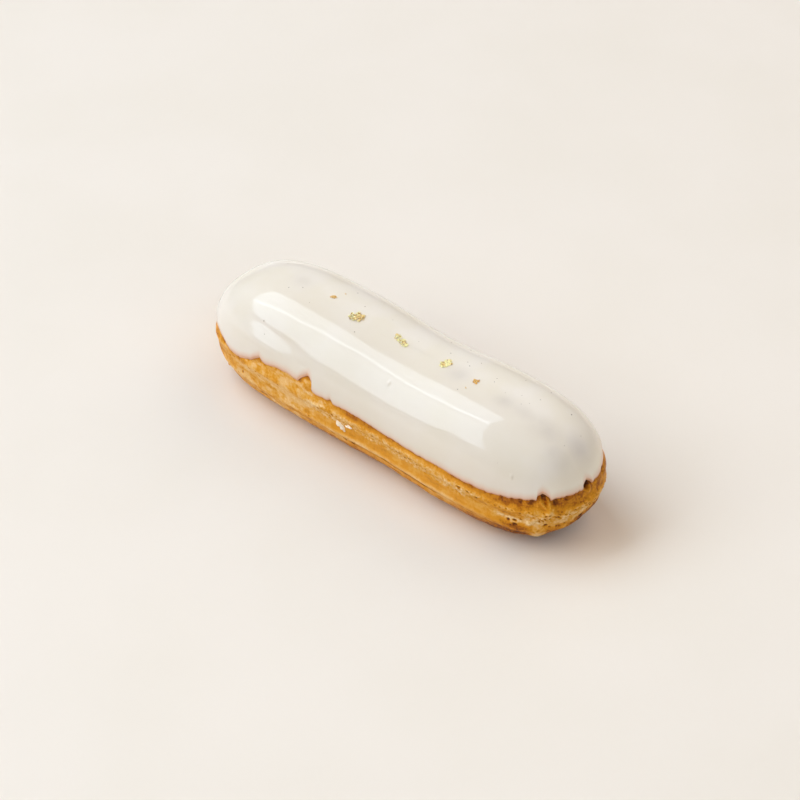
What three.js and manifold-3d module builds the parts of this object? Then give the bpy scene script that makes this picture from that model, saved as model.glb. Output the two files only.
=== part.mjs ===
// An iced eclair in millimetres, +Z up, lying along X on the plane z = 0.
// choux: the solid baked bun, with the ridges that piping leaves round its sides.
// icing: a shell of white icing over the upper half, with crumbs of gold leaf stuck to its top.

import * as THREE from 'three';
import { mergeVertices } from 'three/addons/utils/BufferGeometryUtils.js';
import Module from 'manifold-3d';

const { degToRad, clamp, lerp, smoothstep, euclideanModulo } = THREE.MathUtils;

// Driving dimensions of the whole eclair.
const LENGTH = 140;
const WIDTH = 42;
const HEIGHT = 36.9;
const BELLY_HEIGHT = 15; // where the sides stand out furthest
const BASE_SINK = 0.8; // how much of the round underside the flat base takes off
const RIM_INSET = 0.01; // keeps the rim of the base on the base plane
const BASE_FADE = { from: 0.5, to: 3.5 }; // heights between which the relief of the sides sets in
const WAIST = { at: 6, reach: 18.9, narrower: 1, lower: 1.8 };

// How square the form is: 2 is an ellipse, larger is squarer.
const END_POWER = 6.3;
const CROWN_POWER = 2.57;
const UNDERSIDE_POWER = 2.97;

// The spine is the straight line inside that the surface is measured from.
const SPINE_HALF = 50;
const CAP_RADIUS = LENGTH / 2 - SPINE_HALF;
const CAP_RUN = Math.PI * CAP_RADIUS;
const FULL_RUN = 4 * SPINE_HALF + 2 * CAP_RUN;

// Piped ridges round the choux, by the height of each crest.
const VALLEY_DEPTH = 0.9;
const CRESTS = [
  { height: 15.4, reach: 1.6, rise: 0.95 },
  { height: 9, reach: 1.5, rise: 0.75 },
  { height: 4, reach: 2.4, rise: 0.9 },
];
const CRACKLES = [
  { rise: 0.1, turns: 61, height: 3.1, slant: 0.5 },
  { rise: 0.09, turns: 37, height: 5.9, slant: -0.9 },
];

// Lumps on the choux: the tail where piping ended, the fold above it, blisters and a drop of icing.
// A run is a distance round the eclair from the middle of its near side.
const LUMPS = [
  { run: 65, height: 5.5, along: 2.6, up: 2.6, rise: 1.7 },
  { run: 66.4, height: 17.5, along: 1.5, up: 5, rise: 0.9 },
  { run: 72, height: 13, along: 3.2, up: 3.4, rise: 0.5 },
  { run: 84, height: 15.5, along: 4, up: 3, rise: 0.4 },
  { run: -62, height: 15.5, along: 5, up: 3, rise: 0.5 },
  { run: -80, height: 15.5, along: 5, up: 3, rise: 0.2 },
  { run: -42, height: 15, along: 4.5, up: 2.2, rise: 0.35 },
  { run: -20, height: 19.5, along: 2, up: 2.4, rise: 0.45 },
  { run: -6.4, height: 12.3, along: 1.5, up: 1.7, rise: 0.5 },
];

// The icing shell and its uneven lower edge.
const ICING = 1.3;
const GAP = 0.36; // between the icing and the choux, along the ray from the spine
const EDGE_HEIGHT = 19.1;
const EDGE_ROUND = 1.5;
const COVER = { from: 17.5, to: 20.3 }; // heights between which the choux goes in under the icing
const SWELL = { rise: 0.16, length: 31, width: 17 };
const EDGE_SWAYS = [
  { run: -52, reach: 8, rise: -2.6 },
  { run: -29, reach: 12, rise: 1.9 },
  { run: 14, reach: 20, rise: -0.7 },
  { run: 74, reach: 20, rise: 1.5 },
  { run: 130, reach: 16, rise: -0.9 },
  { run: 178, reach: 22, rise: 1.2 },
  { run: 216, reach: 12, rise: -0.8 },
];
const NOTCHES = [
  { run: -40.2, half: 1.9, rise: 1.6, power: 1.2 },
  { run: -19.8, half: 2.6, rise: 4.2, power: 0.8 },
  { run: -10.6, half: 1.5, rise: 1, power: 1.2 },
  { run: 65.6, half: 2.3, rise: 2.7, power: 0.4 },
  { run: 80.4, half: 2.2, rise: 2.3, power: 0.5 },
  { run: 121, half: 2.4, rise: 1.9, power: 0.8 },
  { run: 163, half: 2.1, rise: 1.7, power: 1 },
  { run: 199, half: 2.6, rise: 2.6, power: 0.6 },
];

// Clusters of gold leaf along the top: place, spread before turning, and the crumbs in each.
const LEAF_CLUSTERS = [
  { x: -16.4, y: -1.6, along: 4.4, across: 4.2, turn: 45, crumbs: 6, radius: 1.25 },
  { x: -0.5, y: -0.2, along: 6.2, across: 2.6, turn: -17, crumbs: 5, radius: 1.25 },
  { x: 16.3, y: 0, along: 3, across: 4.6, turn: 0, crumbs: 5, radius: 1.25 },
  { x: -28.3, y: 0.9, along: 1.2, across: 1.2, turn: 0, crumbs: 2, radius: 0.9 },
  { x: 28.7, y: -1.5, along: 1.4, across: 1.4, turn: 0, crumbs: 2, radius: 0.9 },
];
const LEAF_SMALLEST = 0.55; // of a cluster's largest crumb
const LEAF_LIFT = 0.12;
const LEAF_SQUASH = 0.42;
const LEAF_CRUMPLE = 0.3;
const LEAF_TILT = 12;
const LEAF_SEED = 11;
const DRAW_FACTOR = 1664525;
const DRAW_STEP = 1013904223;
const DRAW_RANGE = 2 ** 32;

// Facets: columns round the eclair and rows from crown to base.
const SIDE_COLUMNS = 70;
const CAP_COLUMNS = 34;
const COLUMNS = 2 * SIDE_COLUMNS + 2 * CAP_COLUMNS;
const BAND_TOP = 26; // above the tip of every notch
const BAND_FOOT = 1;
const CROWN_ROWS = 3;
const BAND_ROWS = 13;
const OUTER_CROWN_ROWS = 4;
const OUTER_SIDE_ROWS = 2;
const EDGE_ROWS = 3;
const INNER_ROWS = 2;
const CROWN_ANGLE = degToRad(90);
const WELD = 1e-3;
const HALVINGS = 40;

const wasm = await Module();
wasm.setup();

// A bell that is 1 at its middle and fades over its reach.
const bell = (distance, reach) => Math.exp(-((distance / reach) ** 2));

// The shorter way round the eclair from one run to another.
const runBetween = (run, other) => euclideanModulo(run - other + FULL_RUN / 2, FULL_RUN) - FULL_RUN / 2;

// Where a run lies: the spine point behind it and the direction that the side faces there.
function station(run) {
  const onward = euclideanModulo(run + SPINE_HALF, FULL_RUN);
  const half = FULL_RUN / 2;
  const farHalf = onward >= half;
  const sense = farHalf ? -1 : 1;
  const within = farHalf ? onward - half : onward;
  const turned = Math.max(within - 2 * SPINE_HALF, 0) / CAP_RADIUS;
  const spineX = sense * (Math.min(within, 2 * SPINE_HALF) - SPINE_HALF);
  return { spineX, outX: sense * Math.sin(turned), outY: -sense * Math.cos(turned) };
}

// Half the width and the height above and below the belly, all of a cross-section at x.
function sectionSizes(x) {
  const waist = bell(x - WAIST.at, WAIST.reach);
  return {
    halfWidth: WIDTH / 2 - WAIST.narrower * waist,
    crown: HEIGHT - BELLY_HEIGHT - WAIST.lower * waist,
    underside: BELLY_HEIGHT + BASE_SINK,
  };
}

// Below 1 inside the outer form, 1 on it and above 1 outside.
function formLevel(x, y, z) {
  const { halfWidth, crown, underside } = sectionSizes(x);
  const lift = z - BELLY_HEIGHT;
  const power = lift > 0 ? CROWN_POWER : UNDERSIDE_POWER;
  const depth = lift > 0 ? crown : underside;
  const section = (Math.abs(y) / halfWidth) ** power + (Math.abs(lift) / depth) ** power;
  return Math.abs((2 * x) / LENGTH) ** END_POWER + section ** (2 / power);
}

// The greatest distance from the spine that a test still finds inside.
function lastInside(isInside) {
  let inside = 0;
  let outside = LENGTH / 2;
  for (let halving = 0; halving < HALVINGS; halving++) {
    const middle = (inside + outside) / 2;
    if (isInside(middle)) inside = middle;
    else outside = middle;
  }
  return inside;
}

// How far a ray from the spine goes, at an angle above the level, until it meets the outer form.
function formReach(run, angle) {
  const { spineX, outX, outY } = station(run);
  return lastInside((reach) => {
    const level = reach * Math.cos(angle);
    return formLevel(spineX + level * outX, level * outY, BELLY_HEIGHT + reach * Math.sin(angle)) < 1;
  });
}

// The angle of the ray to the rim of the flat base, or straight down beyond the ends of the base.
function baseAngle(run) {
  const { spineX, outX, outY } = station(run);
  const rim = lastInside((level) => formLevel(spineX + level * outX, level * outY, 0) < 1);
  return -Math.atan2(BELLY_HEIGHT, Math.max(rim - RIM_INSET, 0));
}

// The point that a ray reaches, held at or above the base plane.
function rayPoint(run, angle, reach) {
  const { spineX, outX, outY } = station(run);
  const toBase = angle < 0 ? BELLY_HEIGHT / Math.sin(-angle) : Infinity;
  const held = Math.min(reach, toBase);
  const level = held * Math.cos(angle);
  return new THREE.Vector3(spineX + level * outX, level * outY, BELLY_HEIGHT + held * Math.sin(angle));
}

// The angle of the ray that meets a straight stretch of the side at a height.
function angleAtHeight(height) {
  const lift = height - BELLY_HEIGHT;
  const power = lift > 0 ? CROWN_POWER : UNDERSIDE_POWER;
  const depth = lift > 0 ? HEIGHT - BELLY_HEIGHT : BELLY_HEIGHT + BASE_SINK;
  const share = (1 - (Math.abs(lift) / depth) ** power) ** (1 / power);
  return Math.atan2(lift, (WIDTH / 2) * share);
}

// The height of the icing's lower edge, with its slow sways and sharp notches.
function edgeHeight(run) {
  let height = EDGE_HEIGHT;
  for (const sway of EDGE_SWAYS) height += sway.rise * bell(runBetween(run, sway.run), sway.reach);
  for (const notch of NOTCHES) {
    const across = Math.abs(runBetween(run, notch.run)) / notch.half;
    height += notch.rise * Math.max(1 - across, 0) ** notch.power;
  }
  return height;
}

// How far the choux stands out from the outer form at a run and a height.
function chouxRelief(run, height) {
  let side = -VALLEY_DEPTH;
  for (const crest of CRESTS) side += crest.rise * bell(height - crest.height, crest.reach);
  for (const lump of LUMPS) {
    side += lump.rise * bell(runBetween(run, lump.run), lump.along) * bell(height - lump.height, lump.up);
  }
  for (const crackle of CRACKLES) {
    const round = (2 * Math.PI * crackle.turns * run) / FULL_RUN + crackle.slant * height;
    side += crackle.rise * Math.sin(round) * Math.sin((2 * Math.PI * height) / crackle.height);
  }
  const covered = smoothstep(height, COVER.from, COVER.to);
  const aboveBase = smoothstep(height, BASE_FADE.from, BASE_FADE.to);
  return lerp(side * aboveBase, -ICING - GAP, covered);
}

function chouxReach(run, angle) {
  const bare = formReach(run, angle);
  return bare + chouxRelief(run, BELLY_HEIGHT + bare * Math.sin(angle));
}

// The gentle swells that poured icing keeps as it sets.
function icingSwell(point) {
  const along = Math.sin((2 * Math.PI * point.x) / SWELL.length);
  return SWELL.rise * along * Math.cos((2 * Math.PI * point.y) / SWELL.width);
}

function icingOuterReach(run, angle) {
  const bare = formReach(run, angle);
  return bare + icingSwell(rayPoint(run, angle, bare));
}

// The run of a column, with as many columns along each side and round each end.
function columnRun(column) {
  const perHalf = SIDE_COLUMNS + CAP_COLUMNS;
  const within = column % perHalf;
  const start = column < perHalf ? -SPINE_HALF : FULL_RUN / 2 - SPINE_HALF;
  const alongSide = Math.min(within, SIDE_COLUMNS) * (2 * SPINE_HALF) / SIDE_COLUMNS;
  const roundCap = Math.max(within - SIDE_COLUMNS, 0) * CAP_RUN / CAP_COLUMNS;
  return start + alongSide + roundCap;
}

// Joins the vertices that share a place, and drops the triangles that this leaves with no area.
function weld(geometry) {
  geometry.deleteAttribute('normal');
  geometry.deleteAttribute('uv');
  const welded = mergeVertices(geometry, WELD);
  const corners = welded.index.array;
  const kept = [];
  for (let first = 0; first < corners.length; first += 3) {
    const [a, b, c] = corners.slice(first, first + 3);
    if (a !== b && b !== c && c !== a) kept.push(a, b, c);
  }
  return welded.setIndex(kept);
}

// A closed surface from a sheet of columns and rows, closed where its edges meet.
function closedSheet(rows, pointAt) {
  const sheet = new THREE.PlaneGeometry(1, 1, COLUMNS, rows);
  const position = sheet.getAttribute('position');
  for (let row = 0; row <= rows; row++) {
    for (let column = 0; column <= COLUMNS; column++) {
      const point = pointAt(columnRun(column % COLUMNS), row);
      position.setXYZ(row * (COLUMNS + 1) + column, point.x, point.y, point.z);
    }
  }
  return weld(sheet);
}

// The rows over the crown, which the bun and the inside of the icing share.
const crownAngle = (row, rows) => lerp(CROWN_ANGLE, angleAtHeight(BAND_TOP), row / rows);

// The bun: a few rows over the crown, many down the side that shows, and a flat base.
function chouxGeometry() {
  const rowAngles = [];
  for (let row = 0; row < CROWN_ROWS; row++) rowAngles.push(crownAngle(row, CROWN_ROWS));
  for (let row = 0; row < BAND_ROWS; row++) {
    rowAngles.push(angleAtHeight(lerp(BAND_TOP, BAND_FOOT, row / (BAND_ROWS - 1))));
  }
  const rimRow = rowAngles.length;
  return closedSheet(rimRow + 1, (run, row) => {
    let angle = rowAngles[row];
    if (row === rimRow) angle = baseAngle(run);
    else if (row > rimRow) angle = -CROWN_ANGLE;
    return rayPoint(run, angle, chouxReach(run, angle));
  });
}

// The shell: down its outer face, round its lower edge and back up its inner face.
function icingShell() {
  const sideRow = OUTER_CROWN_ROWS + OUTER_SIDE_ROWS;
  const edgeRow = sideRow + EDGE_ROWS;
  const bandRow = edgeRow + INNER_ROWS;
  const bandAngle = angleAtHeight(BAND_TOP);
  return closedSheet(bandRow + CROWN_ROWS, (run, row) => {
    const edge = angleAtHeight(edgeHeight(run));
    const roundAngle = edge + EDGE_ROUND / (WIDTH / 2);
    const left = clamp((edgeRow - row) / EDGE_ROWS, 0, 1) ** 2;
    const fullness = Math.sqrt(1 - (1 - left) ** 2);
    let angle = lerp(edge, roundAngle, left);
    if (row < OUTER_CROWN_ROWS) angle = crownAngle(row, OUTER_CROWN_ROWS);
    else if (row < sideRow) angle = lerp(bandAngle, roundAngle, (row - OUTER_CROWN_ROWS) / OUTER_SIDE_ROWS);
    else if (row >= bandRow) angle = crownAngle(CROWN_ROWS + bandRow - row, CROWN_ROWS);
    else if (row > edgeRow) angle = lerp(edge, bandAngle, (row - edgeRow) / INNER_ROWS);
    const inner = chouxReach(run, angle) + GAP;
    const outer = icingOuterReach(run, angle);
    return rayPoint(run, angle, lerp(inner, outer, fullness));
  });
}

// Repeatable random draws between 0 and 1.
function seededDraws(seed) {
  let state = seed;
  return () => {
    state = (state * DRAW_FACTOR + DRAW_STEP) % DRAW_RANGE;
    return state / DRAW_RANGE;
  };
}

// The height of the icing's top at a place on it.
function icingTop(x, y) {
  const { halfWidth, crown } = sectionSizes(x);
  const end = 1 - Math.abs((2 * x) / LENGTH) ** END_POWER;
  const share = end ** (CROWN_POWER / 2) - (Math.abs(y) / halfWidth) ** CROWN_POWER;
  return BELLY_HEIGHT + crown * share ** (1 / CROWN_POWER);
}

// One crumpled crumb of leaf, flat side down, with every corner pushed in or out by a seeded draw.
function leafCrumb(radius, draw) {
  const crumb = weld(new THREE.IcosahedronGeometry(radius, 0));
  const position = crumb.getAttribute('position');
  const corner = new THREE.Vector3();
  for (let index = 0; index < position.count; index++) {
    corner.fromBufferAttribute(position, index).multiplyScalar(1 + LEAF_CRUMPLE * (2 * draw() - 1));
    position.setXYZ(index, corner.x, corner.y, corner.z * LEAF_SQUASH);
  }
  const tilt = () => degToRad(LEAF_TILT) * (2 * draw() - 1);
  return crumb.applyMatrix4(new THREE.Matrix4().makeRotationFromEuler(
    new THREE.Euler(tilt(), tilt(), 2 * Math.PI * draw()),
  ));
}

function solidFrom(geometry) {
  return new wasm.Manifold(new wasm.Mesh({
    numProp: 3,
    vertProperties: new Float32Array(geometry.getAttribute('position').array),
    triVerts: new Uint32Array(geometry.index.array),
  }));
}

function geometryFrom(solid) {
  const { vertProperties, triVerts } = solid.getMesh();
  const geometry = new THREE.BufferGeometry();
  geometry.setAttribute('position', new THREE.BufferAttribute(vertProperties, 3));
  geometry.setIndex(new THREE.BufferAttribute(triVerts, 1));
  return weld(geometry);
}

// The shell with every crumb of leaf joined to its top.
function icingGeometry() {
  const draw = seededDraws(LEAF_SEED);
  let solid = solidFrom(icingShell());
  for (const cluster of LEAF_CLUSTERS) {
    const turn = degToRad(cluster.turn);
    for (let index = 0; index < cluster.crumbs; index++) {
      const round = (2 * Math.PI * index) / cluster.crumbs + draw();
      const out = Math.sqrt((index + 0.5) / cluster.crumbs) / 2;
      const along = cluster.along * out * Math.cos(round);
      const across = cluster.across * out * Math.sin(round);
      const x = cluster.x + along * Math.cos(turn) - across * Math.sin(turn);
      const y = cluster.y + along * Math.sin(turn) + across * Math.cos(turn);
      const radius = cluster.radius * lerp(LEAF_SMALLEST, 1, draw());
      solid = solid.add(solidFrom(leafCrumb(radius, draw).translate(x, y, icingTop(x, y) + LEAF_LIFT)));
    }
  }
  return geometryFrom(solid);
}

function namedMesh(name, geometry, look) {
  geometry.computeVertexNormals();
  const mesh = new THREE.Mesh(geometry, new THREE.MeshStandardMaterial(look));
  mesh.name = name;
  return mesh;
}

const eclair = new THREE.Group();
eclair.add(
  namedMesh('choux', chouxGeometry(), { color: 0xd39946, roughness: 0.75, metalness: 0 }),
  namedMesh('icing', icingGeometry(), { color: 0xeae3d5, roughness: 0.22, metalness: 0 }),
);

export default eclair;
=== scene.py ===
"""Dresses an iced eclair: a ridged choux bun, poured white icing, gold leaf and vanilla specks.

Lengths are worked out in millimetres round the same form as the solids, and meshes are made in metres.
A run is a distance round the eclair from the middle of its near side, along +X first.
"""

import itertools
import logging
import math
from dataclasses import dataclass
from enum import Enum
from typing import Any

import bmesh
import bpy
import numpy as np
from mathutils import Euler, Matrix, Vector


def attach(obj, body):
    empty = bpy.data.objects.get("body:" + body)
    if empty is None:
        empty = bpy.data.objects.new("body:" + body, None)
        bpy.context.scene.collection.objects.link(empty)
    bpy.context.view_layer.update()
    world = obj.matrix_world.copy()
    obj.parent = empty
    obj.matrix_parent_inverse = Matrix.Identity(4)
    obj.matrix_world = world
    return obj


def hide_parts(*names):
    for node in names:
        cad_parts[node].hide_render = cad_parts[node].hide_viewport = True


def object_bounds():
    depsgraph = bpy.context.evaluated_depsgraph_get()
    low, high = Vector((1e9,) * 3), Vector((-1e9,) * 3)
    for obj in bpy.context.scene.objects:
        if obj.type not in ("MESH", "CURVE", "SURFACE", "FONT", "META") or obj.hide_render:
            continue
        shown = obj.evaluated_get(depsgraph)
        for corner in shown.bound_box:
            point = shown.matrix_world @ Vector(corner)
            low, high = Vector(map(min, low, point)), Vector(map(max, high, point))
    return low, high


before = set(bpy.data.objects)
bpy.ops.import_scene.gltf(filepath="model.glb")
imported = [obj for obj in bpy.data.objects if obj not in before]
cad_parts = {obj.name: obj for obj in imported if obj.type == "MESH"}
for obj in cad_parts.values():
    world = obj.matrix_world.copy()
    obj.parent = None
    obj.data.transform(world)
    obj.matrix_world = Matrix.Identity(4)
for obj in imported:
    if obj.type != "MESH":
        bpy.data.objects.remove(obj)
CAD_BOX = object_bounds()

LOG = logging.getLogger("eclair")
MM = 0.001
BODY = "root"
PHOTO_SIDE = 800
NOISE_MIDDLE = 0.5

Array = np.ndarray
Colour = tuple[float, float, float, float]


class Slot(Enum):
    """The record's material slots."""

    CHOUX = "choux"
    ICING = "icing"


class Node(Enum):
    """The solids that the dressed pieces stand for."""

    CHOUX = "choux"
    ICING = "icing"


def srgb(red: float, green: float, blue: float) -> Colour:
    """Gives a colour from 0 to 255 a channel, as a screen shows it, as linear light.

    Args:
        red: The red channel.
        green: The green channel.
        blue: The blue channel.

    Returns:
        The linear colour with full alpha.
    """
    linear = []
    for channel in (red, green, blue):
        share = channel / 255
        linear.append(share / 12.92 if share <= 0.04045 else ((share + 0.055) / 1.055) ** 2.4)
    return (linear[0], linear[1], linear[2], 1.0)


def bell(distance: Array | float, reach: float) -> Array:
    """Gives 1 at the middle of a bump, fading to 0 over its reach."""
    return np.exp(-((distance / reach) ** 2))


def ease(value: Array, low: float, high: float) -> Array:
    """Gives 0 below low, 1 above high and a smooth step between."""
    share = np.clip((value - low) / (high - low), 0, 1)
    return share * share * (3 - 2 * share)


def blend(first: Array | float, second: Array | float, share: Array) -> Array:
    """Mixes two values, by a share of the second."""
    return first + (second - first) * share


@dataclass(frozen=True)
class Span:
    """A range of values."""

    low: float
    high: float

    def drawn(self, draw: np.random.Generator) -> float:
        """Draws a value from the range."""
        return draw.uniform(self.low, self.high)

    def rise(self, value: Array) -> Array:
        """Gives 0 below the range, 1 above it and a smooth step between."""
        return ease(value, self.low, self.high)

    def fall(self, value: Array) -> Array:
        """Gives 1 below the range, 0 above it and a smooth step between."""
        return 1 - ease(value, self.low, self.high)


ANY_TURN = Span(0, 6.3)


class Grain:
    """Repeatable smooth noise and cells in three dimensions."""

    TABLE = 256
    LAYER_SHIFT = 17
    PITCHES = tuple(itertools.product((-1, 0, 1), repeat=3))
    CORNERS = tuple(itertools.product((0, 1), repeat=3))

    def __init__(self, seed: int) -> None:
        """Draws the lattice's values.

        Args:
            seed: The seed of the draws.
        """
        draw = np.random.default_rng(seed)
        self.shuffle = draw.permutation(self.TABLE)
        self.values = draw.uniform(-1, 1, self.TABLE)
        self.offsets = draw.uniform(0, 1, (self.TABLE, 3))

    def _index(self, cells: Array) -> Array:
        """Gives each lattice cell its place in the tables.

        Args:
            cells: The cells, three whole numbers each.

        Returns:
            The places.
        """
        index = self.shuffle[cells[..., 0] % self.TABLE]
        index = self.shuffle[(index + cells[..., 1]) % self.TABLE]
        return self.shuffle[(index + cells[..., 2]) % self.TABLE]

    def smooth(self, points: Array) -> Array:
        """Gives smooth noise from -1 to 1 with features one unit across.

        Args:
            points: Places, three numbers each.

        Returns:
            One value for each place.
        """
        base = np.floor(points).astype(np.int64)
        local = points - base
        fade = local**3 * (local * (local * 6 - 15) + 10)
        total = np.zeros(points.shape[:-1])
        for corner in self.CORNERS:
            steps = np.array(corner)
            weight = np.prod(np.where(steps == 1, fade, 1 - fade), axis=-1)
            total += weight * self.values[self._index(base + steps)]
        return total

    def layered(self, points: Array, layers: int = 3) -> Array:
        """Gives noise with finer noise added on top, each layer half as strong.

        Args:
            points: Places, three numbers each.
            layers: How many layers are added.

        Returns:
            One value for each place, from about -1 to 1.
        """
        total = np.zeros(points.shape[:-1])
        for layer in range(layers):
            total += self.smooth(points * 2**layer + self.LAYER_SHIFT * layer) / 2**layer
        return total / (2 - 0.5 ** (layers - 1))

    def joins(self, points: Array) -> Array:
        """Gives 0 along the joins of cells round scattered points, one to each lattice cell.

        Args:
            points: Places, three numbers each.

        Returns:
            How much nearer each place is to its own cell's point than to the next one's.
        """
        base = np.floor(points).astype(np.int64)
        nearest = np.full(points.shape[:-1], np.inf)
        second = np.full(points.shape[:-1], np.inf)
        for pitch in self.PITCHES:
            cell = base + np.array(pitch)
            away = np.linalg.norm(cell + self.offsets[self._index(cell)] - points, axis=-1)
            second = np.minimum(second, np.maximum(nearest, away))
            nearest = np.minimum(nearest, away)
        return second - nearest


@dataclass(frozen=True)
class Weave:
    """Noise over the sides: how long and how tall one unit of it is, and how many layers it has."""

    along: float
    up: float
    layers: int = 3

    def over(self, grain: Grain, run: Array, height: Array) -> Array:
        """Gives the noise at places on a side."""
        return grain.layered(FORM.unrolled(run, height, self.along, self.up), self.layers)


@dataclass(frozen=True)
class Oval:
    """A soft oval on a side, and how much it raises or lightens the side there."""

    run: float
    height: float
    along: float
    up: float
    amount: float

    def over(self, run: Array, height: Array) -> Array:
        """Gives the oval's amount at places, fading outwards."""
        beside = bell(FORM.run_between(run, self.run), self.along)
        return self.amount * beside * bell(height - self.height, self.up)


@dataclass(frozen=True)
class Sway:
    """A slow rise or dip of the icing's lower edge, with its own reach before and after its run."""

    run: float
    before: float
    after: float
    rise: float


@dataclass(frozen=True)
class Notch:
    """A gap that the icing's lower edge leaves; a low power is a round side and a high one a thorn's."""

    run: float
    before: float
    after: float
    rise: float
    before_power: float
    after_power: float


@dataclass(frozen=True)
class Pocket:
    """A small blister under the icing's lower edge."""

    run: float
    size: float


@dataclass(frozen=True)
class Pit:
    """A small hollow in the crust, with how dark it is painted: scorched crust and painted shade in the
    hollow.
    """

    run: float
    height: float
    along: float
    up: float
    depth: float
    bake: float


@dataclass(frozen=True)
class PitKind:
    """A kind of scattered pit, by the ranges of its sizes and of how dark it is painted, scorched crust and
    painted shade.
    """

    along: Span
    up: Span
    depth: Span
    bake: Span

    def pit(self, run: float, height: float, draw: np.random.Generator) -> Pit:
        """Draws one pit at a place."""
        up, depth, bake = self.up.drawn(draw), self.depth.drawn(draw), self.bake.drawn(draw)
        return Pit(run, height, self.along.drawn(draw), up, depth, bake)


@dataclass(frozen=True)
class Pocks:
    """A stretch of broken crust: its middle, how far its pocks spread, and how many there are."""

    run: float
    spread: float
    count: int


@dataclass(frozen=True)
class Ring:
    """A finger of dough seen end on: a raised rim round a hollow, which may lean."""

    run: float
    height: float
    along: float
    up: float
    lean: float
    rim: float
    hollow: float


@dataclass(frozen=True)
class Stroke:
    """A raised line from one place on a side to another."""

    run: float
    height: float
    end_run: float
    end_height: float
    half: float
    rise: float


@dataclass(frozen=True)
class Crest:
    """A piped ridge that runs round the choux."""

    height: float
    reach: float
    rise: float


@dataclass(frozen=True)
class EclairForm:
    """The outer form that bun and icing share, in millimetres."""

    length: float = 140
    width: float = 42
    height: float = 36.9
    belly_height: float = 15
    base_sink: float = 0.8
    waist_at: float = 6
    waist_reach: float = 18.9
    waist_narrower: float = 1
    waist_lower: float = 1.8
    end_power: float = 6.3
    crown_power: float = 2.57
    underside_power: float = 2.97
    spine_half: float = 50
    halvings: int = 34
    least_lift: float = 1e-9
    fine_from: float = -80
    fine_to: float = 96

    @property
    def cap_radius(self) -> float:
        """How far each end stands beyond the spine."""
        return self.length / 2 - self.spine_half

    @property
    def full_run(self) -> float:
        """The way right round the eclair."""
        return 4 * self.spine_half + 2 * math.pi * self.cap_radius

    def run_between(self, run: Array, other: float) -> Array:
        """Gives the shorter way round from one run to another."""
        half = self.full_run / 2
        return np.mod(run - other + half, self.full_run) - half

    def station(self, run: Array) -> tuple[Array, Array, Array]:
        """Finds where runs lie.

        Args:
            run: Distances round the eclair.

        Returns:
            The spine's X behind each, and the X and Y of the way that the side faces there.
        """
        half = self.full_run / 2
        onward = np.mod(run + self.spine_half, self.full_run)
        sense = np.where(onward >= half, -1.0, 1.0)
        within = np.where(onward >= half, onward - half, onward)
        turned = np.maximum(within - 2 * self.spine_half, 0) / self.cap_radius
        spine = sense * (np.minimum(within, 2 * self.spine_half) - self.spine_half)
        return spine, sense * np.sin(turned), -sense * np.cos(turned)

    def section(self, x: Array) -> tuple[Array, Array]:
        """Gives the sizes of cross-sections.

        Args:
            x: Where they are along the spine.

        Returns:
            Half of each one's width, and its height above the belly.
        """
        waist = bell(x - self.waist_at, self.waist_reach)
        crown = self.height - self.belly_height - self.waist_lower * waist
        return self.width / 2 - self.waist_narrower * waist, crown

    def level(self, x: Array, y: Array, z: Array) -> Array:
        """Tells the inside of the outer form from its outside.

        Args:
            x: How far along each place is.
            y: How far across.
            z: How high.

        Returns:
            1 on the outer form, less inside it and more outside.
        """
        half_width, crown = self.section(x)
        lift = z - self.belly_height
        power = np.where(lift > 0, self.crown_power, self.underside_power)
        depth = np.where(lift > 0, crown, self.belly_height + self.base_sink)
        section = (np.abs(y) / half_width) ** power + (np.abs(lift) / depth) ** power
        return np.abs(2 * x / self.length) ** self.end_power + section ** (2 / power)

    def reach(self, run: Array, angle: Array) -> Array:
        """Gives how far rays from the spine go until they meet the outer form.

        Args:
            run: Where each ray starts and which way it faces.
            angle: Its angle above the level, in radians.

        Returns:
            The lengths of the rays.
        """
        spine, out_x, out_y = self.station(run)
        level, lift = np.cos(angle), np.sin(angle)
        inside = np.zeros(np.broadcast(run, angle).shape)
        outside = np.full_like(inside, self.length / 2)
        for _ in range(self.halvings):
            middle = (inside + outside) / 2
            across = middle * level
            rise = self.belly_height + middle * lift
            within = self.level(spine + across * out_x, across * out_y, rise) < 1
            inside = np.where(within, middle, inside)
            outside = np.where(within, outside, middle)
        return inside

    def points(self, run: Array, angle: Array, reach: Array) -> Array:
        """Gives the points that rays reach, held at or above the base plane.

        Args:
            run: Where each ray starts and which way it faces.
            angle: Its angle above the level, in radians.
            reach: Its length.

        Returns:
            Places, three numbers each.
        """
        spine, out_x, out_y = self.station(run)
        lift = np.sin(angle)
        to_base = np.where(lift < 0, self.belly_height / np.maximum(-lift, self.least_lift), np.inf)
        held = np.minimum(reach, to_base)
        across = held * np.cos(angle)
        return np.stack([spine + across * out_x, across * out_y, self.belly_height + held * lift], axis=-1)

    def angle_at(self, height: Array | float) -> Array:
        """Finds the rays that meet a straight stretch of side at these heights.

        Args:
            height: The heights.

        Returns:
            The rays' angles above the level, in radians.
        """
        lift = np.asarray(height, float) - self.belly_height
        power = np.where(lift > 0, self.crown_power, self.underside_power)
        depth = np.where(lift > 0, self.height - self.belly_height, self.belly_height + self.base_sink)
        share = np.maximum(1 - (np.abs(lift) / depth) ** power, 0) ** (1 / power)
        return np.arctan2(lift, self.width / 2 * share)

    def top_height(self, x: Array, y: Array) -> Array:
        """Gives the height of the top.

        Args:
            x: How far along each place is.
            y: How far across.

        Returns:
            The heights.
        """
        half_width, crown = self.section(x)
        end = 1 - np.abs(2 * x / self.length) ** self.end_power
        share = end ** (self.crown_power / 2) - (np.abs(y) / half_width) ** self.crown_power
        return self.belly_height + crown * np.maximum(share, 0) ** (1 / self.crown_power)

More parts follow.
